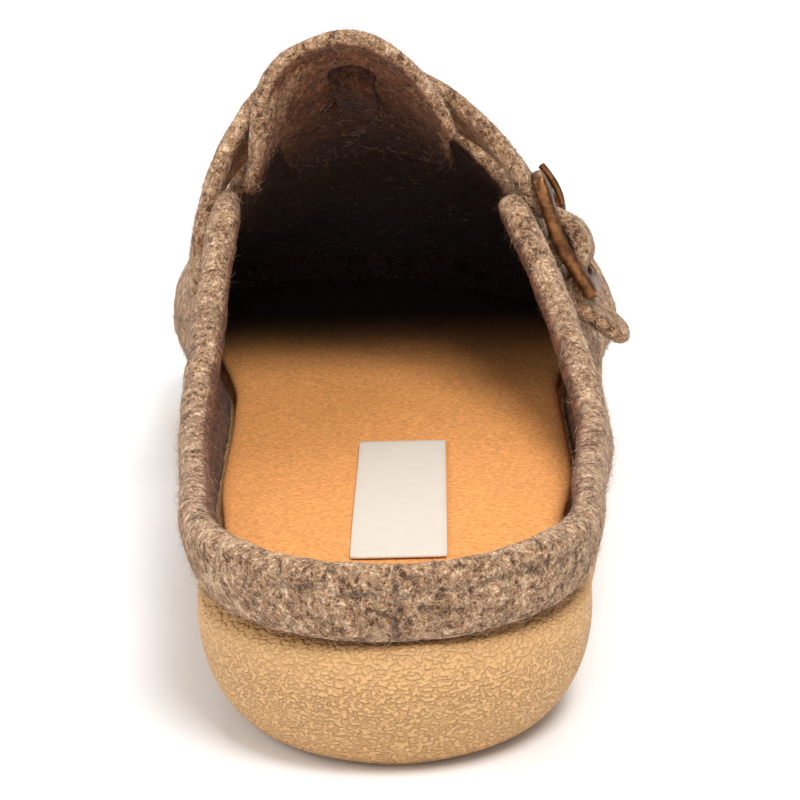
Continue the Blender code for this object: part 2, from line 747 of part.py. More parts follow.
class FrameEnd(NamedTuple):
    """One bar of the buckle: Y of its middle and its turn round the arch."""

    y: float
    turn: float


TOP_BAR = FrameEnd(35.4, 42.1)
LOW_BAR = FrameEnd(31.6, 23.7)
BAR_SKEW = -0.5
PIN_LIFT = 3.6
BAR_LIFT = 0.75 + STRAP_FELT + 2.9 * GAP + FRAME_THICKNESS / 2.0
FRAME_STEPS = 28
FRAME_CORNER = 7.0
TURN_LONG = 1.38  # millimetres along the form for one degree of turn at the buckle


def buckle_point(along, down, lift):
    """Point on the buckle: along the foot in mm, down from -1 top bar to 1 low bar, and lift."""
    share = (down + 1.0) / 2.0
    y = TOP_BAR.y + (LOW_BAR.y - TOP_BAR.y) * share + along
    turn = TOP_BAR.turn + (LOW_BAR.turn - TOP_BAR.turn) * share + BAR_SKEW * along / (FRAME_WIDTH / 2.0)
    return skin(y, turn, lift)


def build_frame():
    """Rounded frame whose bars stand over the strap and whose sides lie lower, beside it."""
    points, faces = [], []
    length = (TOP_BAR.turn - LOW_BAR.turn) * TURN_LONG / 2.0
    for k in range(FRAME_STEPS):
        angle = 2.0 * math.pi * (k + 0.5) / FRAME_STEPS
        c, d = math.cos(angle), math.sin(angle)
        reach = (abs(c) ** FRAME_CORNER + abs(d) ** FRAME_CORNER) ** (-1.0 / FRAME_CORNER)
        c, d = c * reach, d * reach
        for rim, height in ((1, 1), (1, -1), (-1, -1), (-1, 1)):
            half_along = FRAME_WIDTH / 2.0 - (0.0 if rim > 0 else FRAME_SIDE)
            down = 1.0 + rim * FRAME_BAR / 2.0 / length
            slim = 0.82 if rim > 0 else 1.0
            lift = PIN_LIFT + (BAR_LIFT - PIN_LIFT) * abs(d) ** 1.2 + height * FRAME_THICKNESS / 2.0 * slim
            points.append(buckle_point(c * half_along, d * down, lift))
    for k in range(FRAME_STEPS):
        here, ahead = 4 * k, 4 * ((k + 1) % FRAME_STEPS)
        for j in range(4):
            faces.append([ahead + j, ahead + (j + 1) % 4, here + (j + 1) % 4, here + j])
    return make("buckle_frame", points, faces, BRONZE)


def rod(name, path, radius, finish, sides=8):
    """Closed round rod along a path of points."""
    path = np.array(path, float)
    points, faces = [], []
    up = np.array([0.3, 0.9, 0.3])
    for k, place in enumerate(path):
        along = path[min(k + 1, len(path) - 1)] - path[max(k - 1, 0)]
        along /= np.linalg.norm(along)
        first = np.cross(along, up)
        first /= np.linalg.norm(first)
        second = np.cross(along, first)
        for j in range(sides):
            angle = 2.0 * math.pi * j / sides
            points.append(place + radius * (first * math.cos(angle) + second * math.sin(angle)))
    for k in range(len(path) - 1):
        for j in range(sides):
            here, ahead = k * sides, (k + 1) * sides
            n = (j + 1) % sides
            faces.append([here + j, here + n, ahead + n, ahead + j])
    last = (len(path) - 1) * sides
    faces.append(list(range(sides))[::-1])
    faces.append([last + j for j in range(sides)])
    return make(name, points, faces, finish)


def build_pin():
    """Bar across the buckle's middle, between its two sides."""
    half = FRAME_WIDTH / 2.0 - FRAME_SIDE - 1.5 * GAP
    path = [buckle_point(half * share, 0.0, PIN_LIFT) for share in (-1.0, -0.5, 0.0, 0.5, 1.0)]
    return rod("buckle_pin", path, PIN_DIAMETER / 2.0, BRONZE)


class ProngRow(NamedTuple):
    """Middle of the prong: turn round the arch and lift."""

    turn: float
    lift: float


PRONG = (
    ProngRow(35.3, 3.6),
    ProngRow(36.6, 5.4),
    ProngRow(37.2, 7.2),
    ProngRow(38.6, 8.0),
    ProngRow(40.6, 8.3),
    ProngRow(42.4, 8.1),
    ProngRow(44.6, 7.5),
)
PRONG_Y = 34.35


def build_prong():
    """Prong from the pin through the strap's hole on to the top bar."""
    path = [skin(PRONG_Y + (row.turn - PRONG[0].turn) * 0.12, row.turn, row.lift) for row in PRONG]
    return rod("buckle_prong", path, PRONG_DIAMETER / 2.0, BRONZE)


def build_loop(name, middle_y):
    """Felt loop round the pin with a short tail on the quarter."""
    bore = PIN_DIAMETER / 2.0 + GAP
    rim = bore + LOOP_FELT
    profile = [(rim * math.cos(math.radians(a)), rim * math.sin(math.radians(a))) for a in range(0, 300, 27)]
    profile += [(3.0, GAP - PIN_LIFT), (5.0, GAP - PIN_LIFT), (5.0, GAP + LOOP_FELT * 0.8 - PIN_LIFT)]
    points, faces = [], []
    count = len(profile)
    centre = (TOP_BAR.y + LOW_BAR.y) / 2.0
    for edge in (-0.5, 0.5):
        for ring_share in (1.0, None):
            for down, lift in profile:
                if ring_share is None:
                    size = math.hypot(down, lift)
                    down, lift = down * bore / size, lift * bore / size
                along = middle_y + edge * LOOP_WIDTH - centre
                length = (TOP_BAR.turn - LOW_BAR.turn) * TURN_LONG / 2.0
                points.append(buckle_point(along, down / length, PIN_LIFT + lift))
    for k in range(count):
        n = (k + 1) % count
        near, hole, far, far_hole = 0, count, 2 * count, 3 * count
        faces.append([far + k, far + n, near + n, near + k])
        faces.append([far_hole + n, far_hole + k, hole + k, hole + n])
        faces.append([hole + n, hole + k, near + k, near + n])
        faces.append([far_hole + k, far_hole + n, far + n, far + k])
    return make(name, points, faces, FELT_STRAP)


def ladder(left, right, columns):
    """Plan points between two lists of places, rows by columns."""
    shares = np.linspace(0.0, 1.0, columns + 1)
    return np.array(left)[:, None] + (np.array(right) - np.array(left))[:, None] * shares[None, :, None]


def slab(name, turns, inset, top, bottom, sides, finish, columns=5):
    """Closed solid between a top and a bottom surface, with rings down its side.

    Args:
        name: name of the piece.
        turns: places round the outline, heel to toe, of each side.
        inset: distance of the top edge inside the felt's widest line, for an array of turns and side.
        top: height of the top surface at plan points.
        bottom: height of the underside at plan points.
        sides: rows of (share of the height, distance out from the top edge).
        finish: material of the piece.
        columns: spaces across the foot.
    """
    points, index, faces = [], {}, []

    def add(point):
        key = tuple(int(round(v * 500.0)) for v in point)
        if key not in index:
            index[key] = len(points)
            points.append(point)
        return index[key]

    def patch(grid, flip):
        ids = [[add(p) for p in row] for row in grid]
        for r in range(len(ids) - 1):
            for c in range(len(ids[0]) - 1):
                corners = [ids[r][c], ids[r][c + 1], ids[r + 1][c + 1], ids[r + 1][c]]
                face = [v for k, v in enumerate(corners) if v != corners[k - 1]]
                if len(face) > 2:
                    faces.append(face[::-1] if flip else face)

    rings = []
    for share, out in sides:
        ring_points = {}
        for side in (1, -1):
            edge = shifted(side, turns[side], inset(side, turns[side]))
            plan = shifted(side, turns[side], inset(side, turns[side]) + out)
            high, low = top(edge), bottom(plan)
            z = low + (high - low) * share
            ring_points[side] = np.concatenate([plan, z[:, None]], axis=1)
        rings.append(ring_points)
    for height, ring_points, flip in ((top, rings[0], False), (bottom, rings[-1], True)):
        plan = ladder(ring_points[-1][:, :2], ring_points[1][:, :2], columns)
        z = height(plan)
        z[:, 0], z[:, -1] = ring_points[-1][:, 2], ring_points[1][:, 2]
        patch(np.concatenate([plan, z[..., None]], axis=-1), flip)
    for upper, lower in zip(rings, rings[1:]):
        patch(np.stack([upper[1], lower[1]], axis=1), False)
        patch(np.stack([upper[-1], lower[-1]], axis=1), True)
    return make(name, points, faces, finish)


class GroundRow(NamedTuple):
    """Height of the sole's underside along the foot."""

    along: float
    height: float


GROUND = (
    GroundRow(0.0, 1.6),
    GroundRow(0.05, 0.0),
    GroundRow(0.29, 0.0),
    GroundRow(0.42, ARCH_RISE),
    GroundRow(0.50, ARCH_RISE),
    GroundRow(0.62, 0.0),
    GroundRow(0.79, 0.0),
    GroundRow(0.90, TOE_SPRING * 0.38),
    GroundRow(1.0, TOE_SPRING),
)
ground = smooth([HEEL_BACK + row.along * LENGTH for row in GROUND], [row.height for row in GROUND])
SOLE_SIDES = ((1.0, 0.0), (0.84, 0.7), (0.62, 0.7), (0.40, -0.6), (0.22, -2.9), (0.08, -6.0), (0.0, -9.4))


def sole_edge(side, turns):
    """Distance of the sole's top edge from the felt's widest line."""
    return -bulge(outline(side, turns)[..., 1])


def build_sole():
    """Moulded sole with an arch, a toe spring and rounded sides, flat where it stands."""
    turns = {place.sign: all_turns(place) for place in (OUTER_SIDE, INNER_SIDE)}
    return slab("outsole", turns, sole_edge, lambda p: joint(p[..., 1]), lambda p: ground(p[..., 1]), SOLE_SIDES, SOLE, columns=2)


def insole_top(plan):
    """Height of the insole, with a soft cup at its edges."""
    y = plan[..., 1]
    across = np.clip(np.abs(plan[..., 0] - middle(y)) / np.maximum(half_width(y), 8.0), 0.0, 1.0)
    return joint(y) + GAP + INSOLE_THICKNESS - 1.4 + 1.6 * across**3


def build_insole():
    """Shaped insole lying on the sole inside the felt wall."""
    turns = {place.sign: all_turns(place) for place in (OUTER_SIDE, INNER_SIDE)}
    sides = ((1.0, -1.2), (0.75, 0.0), (0.0, 0.0))
    return slab("insole", turns, lambda side, t: sole_edge(side, t) - WALL - GAP, insole_top, lambda p: joint(p[..., 1]) + GAP, sides, SUEDE)


LABEL_X = 4.0
LABEL_Y = -57.2
LABEL_TURN = 1.55


def build_label():
    """Bare woven patch on the insole."""
    xs = np.linspace(-LABEL_WIDTH / 2.0, LABEL_WIDTH / 2.0, 4)
    ys = np.linspace(-LABEL_LENGTH / 2.0, LABEL_LENGTH / 2.0, 11)
    grid_x, grid_y = np.meshgrid(xs, ys)
    angle = math.radians(LABEL_TURN)
    x = LABEL_X + grid_x * math.cos(angle) + grid_y * math.sin(angle)
    y = LABEL_Y - grid_x * math.sin(angle) + grid_y * math.cos(angle)
    low = insole_top(np.stack([x, y], axis=-1)) + GAP
    felt = Felt()
    felt.grid(np.stack([x, y, low + LABEL_THICKNESS], axis=-1), np.stack([x, y, low], axis=-1))
    return felt.solid("insole_label", WOVEN, flat=lambda loop: True)


def clear():
    for obj in list(bpy.data.objects):
        bpy.data.objects.remove(obj, do_unlink=True)


def main():
    clear()
    build_sole()
    build_upper()
    build_insole()
    build_label()
    build_tongue()
    build_strap()
    build_frame()
    build_pin()
    build_prong()
    middle_y = (TOP_BAR.y + LOW_BAR.y) / 2.0
    build_loop("buckle_loop_rear", middle_y - LOOP_WIDTH / 2.0 - 1.6)
    build_loop("buckle_loop_front", middle_y + LOOP_WIDTH / 2.0 + 1.6)
    corners = np.array([vertex.co[:] for obj in MADE for vertex in obj.data.vertices])
    low, high = corners.min(axis=0), corners.max(axis=0)
    shift = Matrix.Translation((-(low[0] + high[0]) / 2.0, -(low[1] + high[1]) / 2.0, -low[2]))
    for obj in MADE:
        obj.data.transform(Matrix.Diagonal((MM, MM, MM, 1.0)) @ shift)


main()
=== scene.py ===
"""Felt clog slipper: the looks of each piece of the CAD frame, the camera, the floor and the light."""
import logging
import math
from dataclasses import dataclass, field
from enum import Enum

import bmesh
import bpy
import numpy as np
from mathutils import Matrix, Vector, noise


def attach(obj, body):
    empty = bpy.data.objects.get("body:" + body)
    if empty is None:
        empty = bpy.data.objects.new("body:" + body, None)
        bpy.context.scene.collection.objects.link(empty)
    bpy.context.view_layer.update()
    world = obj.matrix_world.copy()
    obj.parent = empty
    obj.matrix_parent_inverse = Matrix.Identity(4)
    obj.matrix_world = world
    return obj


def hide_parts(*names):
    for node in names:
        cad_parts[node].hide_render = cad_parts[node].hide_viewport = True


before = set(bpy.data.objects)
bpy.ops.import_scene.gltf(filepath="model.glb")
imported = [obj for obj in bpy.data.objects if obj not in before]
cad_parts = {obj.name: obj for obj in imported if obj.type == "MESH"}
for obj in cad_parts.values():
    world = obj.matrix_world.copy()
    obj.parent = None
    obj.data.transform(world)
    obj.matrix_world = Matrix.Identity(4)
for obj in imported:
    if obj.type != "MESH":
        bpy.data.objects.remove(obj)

log = logging.getLogger("slipper")
Colour = tuple[float, float, float]
Place = tuple[float, float, float]
Socket = bpy.types.NodeSocket
MM = 0.001


class Slot(Enum):
    """Material slots that the record names."""

    SOLE = "sole"
    FELT = "felt"
    SUEDE = "suede"
    WOVEN = "woven"
    BRONZE = "bronze"


class Tone(Enum):
    """Wool tones of the loose fibres."""

    PALE = "pale"
    TAN = "tan"
    BROWN = "brown"


def from_screen(red: float, green: float, blue: float) -> Colour:
    """Turn a colour as seen on screen into linear light.

    Args:
        red: Red, 0 to 255.
        green: Green, 0 to 255.
        blue: Blue, 0 to 255.

    Returns:
        The same colour in linear values, 0 to 1.
    """
    def linear(value: float) -> float:
        """Undo the screen curve of one channel."""
        part = value / 255
        return part / 12.92 if part <= 0.04045 else ((part + 0.055) / 1.055) ** 2.4

    return linear(red), linear(green), linear(blue)


class Graph:
    """Adds nodes to a node tree and joins them."""

    def __init__(self, tree: bpy.types.NodeTree) -> None:
        """Keep the tree that the nodes go into."""
        self.tree = tree

    def plug(self, socket: Socket, value: object) -> None:
        """Give an input a link where the value is a socket, and a number or colour otherwise.

        Args:
            socket: The input.
            value: A socket, a number, a colour or a vector.
        """
        if isinstance(value, bpy.types.NodeSocket):
            self.tree.links.new(value, socket)
        elif isinstance(value, tuple) and len(value) == 3 and socket.type == "RGBA":
            socket.default_value = (*value, 1.0)
        else:
            socket.default_value = value

    def add(self, kind: str, inputs: dict[str | int, object] | None = None, **settings: object) -> bpy.types.Node:
        """Add one node.

        Args:
            kind: Blender's name of the node type.
            inputs: Values or sockets for its inputs, by name or number.
            settings: Properties of the node itself.

        Returns:
            The new node.
        """
        node = self.tree.nodes.new(kind)
        for name, value in settings.items():
            setattr(node, name, value)
        for name, value in (inputs or {}).items():
            self.plug(node.inputs[name], value)
        return node

    def math(self, operation: str, first: object, second: object = 0.0) -> Socket:
        """Return the result of one Math node."""
        return self.add("ShaderNodeMath", {0: first, 1: second}, operation=operation).outputs[0]

    def vector(self, operation: str, first: object, second: object) -> Socket:
        """Work out one Vector Math node.

        Args:
            operation: What the node does.
            first: The first vector.
            second: The second vector, or the factor where the operation is SCALE.

        Returns:
            The resulting vector.
        """
        node = self.add("ShaderNodeVectorMath", {0: first}, operation=operation)
        self.plug(node.inputs["Scale" if operation == "SCALE" else 1], second)
        return node.outputs[0]

    def mix(self, factor: object, first: object, second: object, blend: str = "MIX") -> Socket:
        """Mix two colours.

        Args:
            factor: Share of the second colour.
            first: The first colour.
            second: The second colour.
            blend: How the second colour acts on the first.

        Returns:
            The mixed colour.
        """
        node = self.add("ShaderNodeMix", data_type="RGBA", blend_type=blend)
        self.plug(node.inputs[0], factor)
        self.plug(node.inputs[6], first)
        self.plug(node.inputs[7], second)
        return node.outputs[2]

    def step(self, value: object, low: object, high: object, start: float = 0.0, end: float = 1.0) -> Socket:
        """Return a smooth step of a value between two limits."""
        node = self.add("ShaderNodeMapRange", {0: value, 1: low, 2: high, 3: start, 4: end},
                        interpolation_type="SMOOTHSTEP")
        return node.outputs[0]

    def noise(self, where: object, scale: object, detail: float = 2.0, rough: float = 0.5,
              warp: float = 0.0) -> Socket:
        """Return a noise value around one half."""
        node = self.add("ShaderNodeTexNoise", {"Vector": where, "Scale": scale, "Detail": detail,
                                               "Roughness": rough, "Distortion": warp})
        return node.outputs["Fac"]

    def ridge(self, where: object, scale: object, width: float, detail: float = 2.0, warp: float = 1.0) -> Socket:
        """Draw thin curling lines along the middle value of a noise.

        Args:
            where: Coordinates.
            scale: Fineness of the noise.
            width: How far from the middle value a line reaches.
            detail: Octaves of the noise.
            warp: How strongly the lines curl.

        Returns:
            One on a line and nought beside it.
        """
        value = self.noise(where, scale, detail, 0.5, warp)
        away = self.math("ABSOLUTE", self.math("SUBTRACT", value, 0.5))
        return self.step(away, 0.0, width, 1.0, 0.0)

    def sway(self, where: object, scale: float, reach: float) -> Socket:
        """Push coordinates about by a noise, by up to half the reach each way.

        Args:
            where: Coordinates.
            scale: Fineness of the noise.
            reach: Whole width of the push, in metres.

        Returns:
            The pushed coordinates.
        """
        node = self.add("ShaderNodeTexNoise", {"Vector": where, "Scale": scale, "Detail": 2.0})
        centred = self.vector("SUBTRACT", node.outputs["Color"], (0.5, 0.5, 0.5))
        return self.vector("ADD", where, self.vector("SCALE", centred, reach))


class Effect:
    """A shader node group with named inputs and outputs, built once."""

    def __init__(self, name: str, inputs: dict[str, tuple[str, object]], outputs: dict[str, str]) -> None:
        """Make the group and its sockets.

        Args:
            name: Name of the group.
            inputs: Socket kind and first value of each input, by name.
            outputs: Socket kind of each output, by name.
        """
        self.tree = bpy.data.node_groups.new(name, "ShaderNodeTree")
        for label, (kind, value) in inputs.items():
            socket = self.tree.interface.new_socket(name=label, in_out="INPUT", socket_type=f"NodeSocket{kind}")
            if value is not None:
                socket.default_value = (*value, 1.0) if kind == "Color" else value
        for label, kind in outputs.items():
            self.tree.interface.new_socket(name=label, in_out="OUTPUT", socket_type=f"NodeSocket{kind}")
        self.graph = Graph(self.tree)
        self.source = self.graph.add("NodeGroupInput")
        self.sink = self.graph.add("NodeGroupOutput")

    def given(self, name: str) -> Socket:
        """Return the group's own input of this name."""
        return self.source.outputs[name]

    def put(self, **values: Socket) -> None:
        """Join values to the outputs of the same names."""
        for name, value in values.items():
            self.graph.plug(self.sink.inputs[name], value)

    def use(self, graph: Graph, inputs: dict[str, object]) -> bpy.types.Node:
        """Place this group in a material.

        Args:
            graph: Graph of the material.
            inputs: Values or sockets for the group's inputs, by name.

        Returns:
            The group's node.
        """
        node = graph.add("ShaderNodeGroup", node_tree=self.tree)
        for name, value in inputs.items():
            graph.plug(node.inputs[name], value)
        return node


def melange_effect() -> Effect:
    """Build the group of matted wool: flecks, curling fibres and soft patches.

    Returns:
        The group.
    """
    effect = Effect("wool_melange",
                    {"Place": ("Vector", None), "Dark": ("Color", (0.1, 0.05, 0.03)),
                     "Middle": ("Color", (0.4, 0.3, 0.2)), "Light": ("Color", (0.7, 0.6, 0.5)),
                     "Warm": ("Color", (0.4, 0.2, 0.1)), "Fineness": ("Float", 1.0)},
                    {"Colour": "Color", "Height": "Float", "Nap": "Float"})
    g = effect.graph
    place = g.vector("SCALE", effect.given("Place"), effect.given("Fineness"))
    curled = g.sway(place, 240.0, 0.0035)
    fleck = g.noise(curled, 560.0, 3.0, 0.62)
    fine = g.noise(curled, 1700.0, 2.0, 0.6)
    patch = g.noise(place, 150.0, 3.0, 0.55)
    mixed = g.math("ADD", g.math("MULTIPLY", fleck, 0.55), g.math("MULTIPLY", fine, 0.45))
    mixed = g.math("ADD", mixed, g.math("MULTIPLY", g.math("SUBTRACT", patch, 0.5), 0.32))
    colour = g.mix(g.step(mixed, 0.39, 0.5), effect.given("Dark"), effect.given("Middle"))
    colour = g.mix(g.step(mixed, 0.5, 0.63), colour, effect.given("Light"))
    warm = g.step(g.noise(g.vector("ADD", curled, (0.31, 0.17, 0.05)), 900.0, 2.0), 0.56, 0.68)
    colour = g.mix(g.math("MULTIPLY", warm, 0.55), colour, effect.given("Warm"))
    pale = g.ridge(g.vector("ADD", curled, (0.11, 0.23, 0.41)), 420.0, 0.028, 2.0, 1.6)
    dark = g.ridge(g.vector("ADD", curled, (0.51, 0.07, 0.19)), 520.0, 0.02, 2.0, 1.6)
    colour = g.mix(g.math("MULTIPLY", pale, 0.5), colour, effect.given("Light"))
    colour = g.mix(g.math("MULTIPLY", dark, 0.55), colour, effect.given("Dark"))
    height = g.math("ADD", g.math("MULTIPLY", fleck, 0.6), g.math("MULTIPLY", pale, 0.3))
    height = g.math("ADD", height, g.math("MULTIPLY", fine, 0.35))
    effect.put(Colour=colour, Height=height, Nap=g.step(mixed, 0.3, 0.7, 1.0, 0.86))
    return effect


def grain_effect() -> Effect:
    """Build the group of a pebbled grain: cells with creases between them, for the sole and the suede.

    Returns:
        The group.
    """
    effect = Effect("pebble_grain",
                    {"Place": ("Vector", None), "Scale": ("Float", 600.0), "Crease": ("Float", 0.2)},
                    {"Height": "Float", "Crevice": "Float"})
    g = effect.graph
    place = g.sway(effect.given("Place"), 500.0, 0.0009)
    cells = g.add("ShaderNodeTexVoronoi", {"Vector": place, "Scale": effect.given("Scale"), "Randomness": 1.0,
                                           "Smoothness": 0.35}, feature="SMOOTH_F1").outputs["Distance"]
    gaps = g.step(cells, g.math("SUBTRACT", 0.66, effect.given("Crease")), 0.66)
    broken = g.step(g.noise(place, 1100.0, 2.0), 0.22, 0.46)
    crevice = g.math("MULTIPLY", gaps, broken)
    round_top = g.math("SUBTRACT", 1.0, g.math("MULTIPLY", cells, cells))
    fine = g.noise(place, 2400.0, 2.0)
    height = g.math("ADD", g.math("MULTIPLY", round_top, 0.8), g.math("MULTIPLY", fine, 0.2))
    height = g.math("SUBTRACT", height, g.math("MULTIPLY", crevice, 0.35))
    effect.put(Height=height, Crevice=crevice)
    return effect


def mottle_effect() -> Effect:
    """Build the group of a soft uneven tone: a colour that drifts lighter and darker in patches.

    Returns:
        The group.
    """
    effect = Effect("soft_mottle",
                    {"Place": ("Vector", None), "Colour": ("Color", (0.5, 0.5, 0.5)), "Scale": ("Float", 100.0),
                     "Depth": ("Float", 0.2)},
                    {"Colour": "Color", "Value": "Float"})
    g = effect.graph
    value = g.noise(effect.given("Place"), effect.given("Scale"), 4.0, 0.6, 0.4)
    gain = g.math("ADD", 1.0, g.math("MULTIPLY", g.math("SUBTRACT", value, 0.5), effect.given("Depth")))
    effect.put(Colour=g.vector("SCALE", effect.given("Colour"), gain), Value=value)
    return effect


@dataclass(frozen=True)
class Effects:
    """The node groups that the materials share."""

    melange: Effect = field(default_factory=melange_effect)
    grain: Effect = field(default_factory=grain_effect)
    mottle: Effect = field(default_factory=mottle_effect)


def start_material(name: str, roughness: float, specular: float, sheen: float = 0.0) -> tuple[
        bpy.types.Material, Graph, bpy.types.Node, Socket]:
    """Start a material with a Principled shader.

    Args:
        name: Name of the material.
        roughness: Plain roughness, until a pattern is joined to it.
        specular: Specular level.
        sheen: Weight of the sheen.

    Returns:
        The material, its graph, its shader and the Object coordinates.
    """
    material = bpy.data.materials.new(name)
    material.use_nodes = True
    graph = Graph(material.node_tree)
    shader = material.node_tree.nodes["Principled BSDF"]
    shader.inputs["Roughness"].default_value = roughness
    shader.inputs["Specular IOR Level"].default_value = specular
    if sheen:
        shader.inputs["Sheen Weight"].default_value = sheen
        shader.inputs["Sheen Roughness"].default_value = 0.5
    where = graph.add("ShaderNodeTexCoord").outputs["Object"]
    return material, graph, shader, where


def relief(graph: Graph, shader: bpy.types.Node, height: Socket, strength: float, depth: float) -> None:
    """Join a height to the shader's normal through a Bump node."""
    bump = graph.add("ShaderNodeBump", {"Height": height, "Strength": strength, "Distance": depth})
    graph.plug(shader.inputs["Normal"], bump.outputs[0])


@dataclass(frozen=True)
class Wool:
    """Matted wool felt in mixed beige and brown fibres, with painted shade on its inner side, deeper in the toe,
    and in the heel's groove.
    """

    name: str
    effects: Effects
    dark: Colour = from_screen(82, 53, 35)
    middle: Colour = from_screen(177, 137, 101)
    light: Colour = from_screen(232, 199, 165)
    warm: Colour = from_screen(146, 94, 55)
    # inner and deep are painted shade: colours multiplied onto the side facing the foot, and again in the toe
    inner: Colour = (0.46, 0.28, 0.18)
    deep: Colour = (0.13, 0.08, 0.06)
    groove_at: float = 4.2 * MM
    groove_half: float = 0.9 * MM
    seam_x: float = -3.0 * MM
    seam_half: float = 0.9 * MM
    thread: Colour = from_screen(232, 206, 176)
    thread_half: float = 0.075
    thread_pitch: float = 2.6 * MM

    def make(self) -> bpy.types.Material:
        """Build the material; it reads the piece's fields named inner, deep, below, heel and sewn.

        Returns:
            The material.
        """
        material, g, shader, where = start_material(self.name, 0.95, 0.18, 0.12)
        wool = self.effects.melange.use(g, {"Place": where, "Dark": self.dark, "Middle": self.middle,
                                            "Light": self.light, "Warm": self.warm, "Fineness": 1.3})
        inner = g.add("ShaderNodeAttribute", attribute_name="inner").outputs["Fac"]
        below = g.add("ShaderNodeAttribute", attribute_name="below").outputs["Fac"]
        heel = g.add("ShaderNodeAttribute", attribute_name="heel").outputs["Fac"]
        lumps = g.noise(where, 210.0, 2.0)
        line = g.math("ADD", self.groove_at, g.math("MULTIPLY", g.math("SUBTRACT", lumps, 0.5), 0.0042))
        away = g.math("ABSOLUTE", g.math("SUBTRACT", below, line))
        broken = g.step(g.noise(where, 330.0, 3.0, 0.6), 0.4, 0.56)
        groove = g.math("MULTIPLY", g.step(away, 0.0, self.groove_half, 1.0, 0.0), g.math("MULTIPLY", heel, broken))
        across = g.add("ShaderNodeSeparateXYZ", {0: where}).outputs[0]
        wander = g.math("MULTIPLY", g.math("SUBTRACT", g.noise(where, 160.0, 3.0, 0.7), 0.5), 0.006)
        off = g.math("ABSOLUTE", g.math("SUBTRACT", g.math("ADD", across, wander), self.seam_x))
        seam = g.math("MULTIPLY", g.step(off, 0.0, self.seam_half, 1.0, 0.0), g.math("MULTIPLY", heel, broken))
        cut = g.math("MAXIMUM", groove, seam)
        # Painted shade: the side facing the foot is multiplied by the inner colour, and its toe part by the deep
        # colour as well
        shade = g.mix(inner, (1.0, 1.0, 1.0), self.inner)
        deep = g.add("ShaderNodeAttribute", attribute_name="deep").outputs["Fac"]
        shade = g.mix(deep, shade, self.deep, "MULTIPLY")
        colour = g.mix(1.0, wool.outputs["Colour"], shade, "MULTIPLY")
        # Painted shade in the heel's groove, and a dark seam line, both mixed towards the dark wool tone
        colour = g.mix(g.math("MULTIPLY", cut, 0.3), colour, self.dark)
        thread, sunk = self.stitches(g, where)
        colour = g.mix(g.math("MULTIPLY", thread, 0.6), colour, self.thread)
        g.plug(shader.inputs["Base Color"], colour)
        g.plug(shader.inputs["Roughness"], wool.outputs["Nap"])
        height = g.math("SUBTRACT", wool.outputs["Height"], g.math("MULTIPLY", g.math("MAXIMUM", cut, sunk), 0.9))
        relief(g, shader, height, 1.0, 0.0013)
        return material


    def stitches(self, g: Graph, where: Socket) -> tuple[Socket, Socket]:
        """Draw a sewn line where the field named sewn is one half.

        Args:
            g: Graph of the material.
            where: Object coordinates.

        Returns:
            The share of thread, and how far the felt is drawn in along the line.
        """
        sewn = g.add("ShaderNodeAttribute", attribute_name="sewn").outputs["Fac"]
        off = g.math("ABSOLUTE", g.math("SUBTRACT", sewn, 0.5))
        along = g.add("ShaderNodeSeparateXYZ", {0: where}).outputs[1]
        part = g.math("FRACT", g.math("DIVIDE", along, self.thread_pitch))
        laid = g.math("MULTIPLY", g.step(part, 0.1, 0.22), g.step(part, 0.72, 0.84, 1.0, 0.0))
        thread = g.math("MULTIPLY", g.step(off, self.thread_half * 0.5, self.thread_half, 1.0, 0.0), laid)
        return thread, g.step(off, 0.0, self.thread_half * 2.2, 1.0, 0.0)


@dataclass(frozen=True)
class WoolFibre:
    """One tone of the loose wool fibres."""

    name: str
    tone: Colour
    effects: Effects

    def make(self) -> bpy.types.Material:
        """Build the material.

        Returns:
            The material.
        """
        material, g, shader, where = start_material(self.name, 0.85, 0.2, 0.2)
        tone = self.effects.mottle.use(g, {"Place": where, "Colour": self.tone, "Scale": 300.0, "Depth": 0.7})
        g.plug(shader.inputs["Base Color"], tone.outputs["Colour"])
        g.plug(shader.inputs["Roughness"], g.step(tone.outputs["Value"], 0.2, 0.8, 0.75, 0.95))
        return material


@dataclass(frozen=True)
class Crepe:
    """Natural moulded rubber with a pebbled side that is smooth just under the felt, with painted shade under the
    felt and in the grain's creases.
    """

    name: str
    effects: Effects
    base: Colour = from_screen(221, 173, 117)
    low: Colour = from_screen(228, 180, 124)
    crease: Colour = from_screen(160, 104, 56)
    smooth_from: float = 15.0 * MM
    smooth_to: float = 24.0 * MM
    shade_from: float = 18.0 * MM
    shade_to: float = 29.0 * MM

    def make(self) -> bpy.types.Material:
        """Build the material; the grain is wider than it is high, as on the real side.

        Returns:
            The material.
        """
        material, g, shader, where = start_material(self.name, 0.55, 0.35)
        height_up = g.add("ShaderNodeSeparateXYZ", {0: where}).outputs[2]
        stretched = g.add("ShaderNodeMapping", {"Vector": where, "Scale": (0.7, 0.7, 1.0)}).outputs[0]
        coarse = self.effects.grain.use(g, {"Place": stretched, "Scale": 1400.0, "Crease": 0.24})
        lower = g.step(height_up, self.smooth_from, self.smooth_to, 1.0, 0.55)
        tone = self.effects.mottle.use(g, {"Place": where, "Colour": self.base, "Scale": 60.0, "Depth": 0.16})
        colour = g.mix(g.step(height_up, 0.0, 20.0 * MM, 0.75, 0.0), tone.outputs["Colour"], self.low)
        # Painted shade under the felt: the colour dims towards the top of the sole
        colour = g.vector("SCALE", colour, g.step(height_up, self.shade_from, self.shade_to, 1.0, 0.84))
        # Painted shade in the creases of the grain
        crease = g.math("MULTIPLY", coarse.outputs["Crevice"], g.math("MULTIPLY", lower, 0.2))
        colour = g.mix(crease, colour, self.crease)
        g.plug(shader.inputs["Base Color"], colour)
        g.plug(shader.inputs["Roughness"], g.step(coarse.outputs["Height"], 0.2, 0.9, 0.72, 0.5))
        height = g.math("MULTIPLY", coarse.outputs["Height"], lower)
        relief(g, shader, height, 1.0, 0.001)
        return material


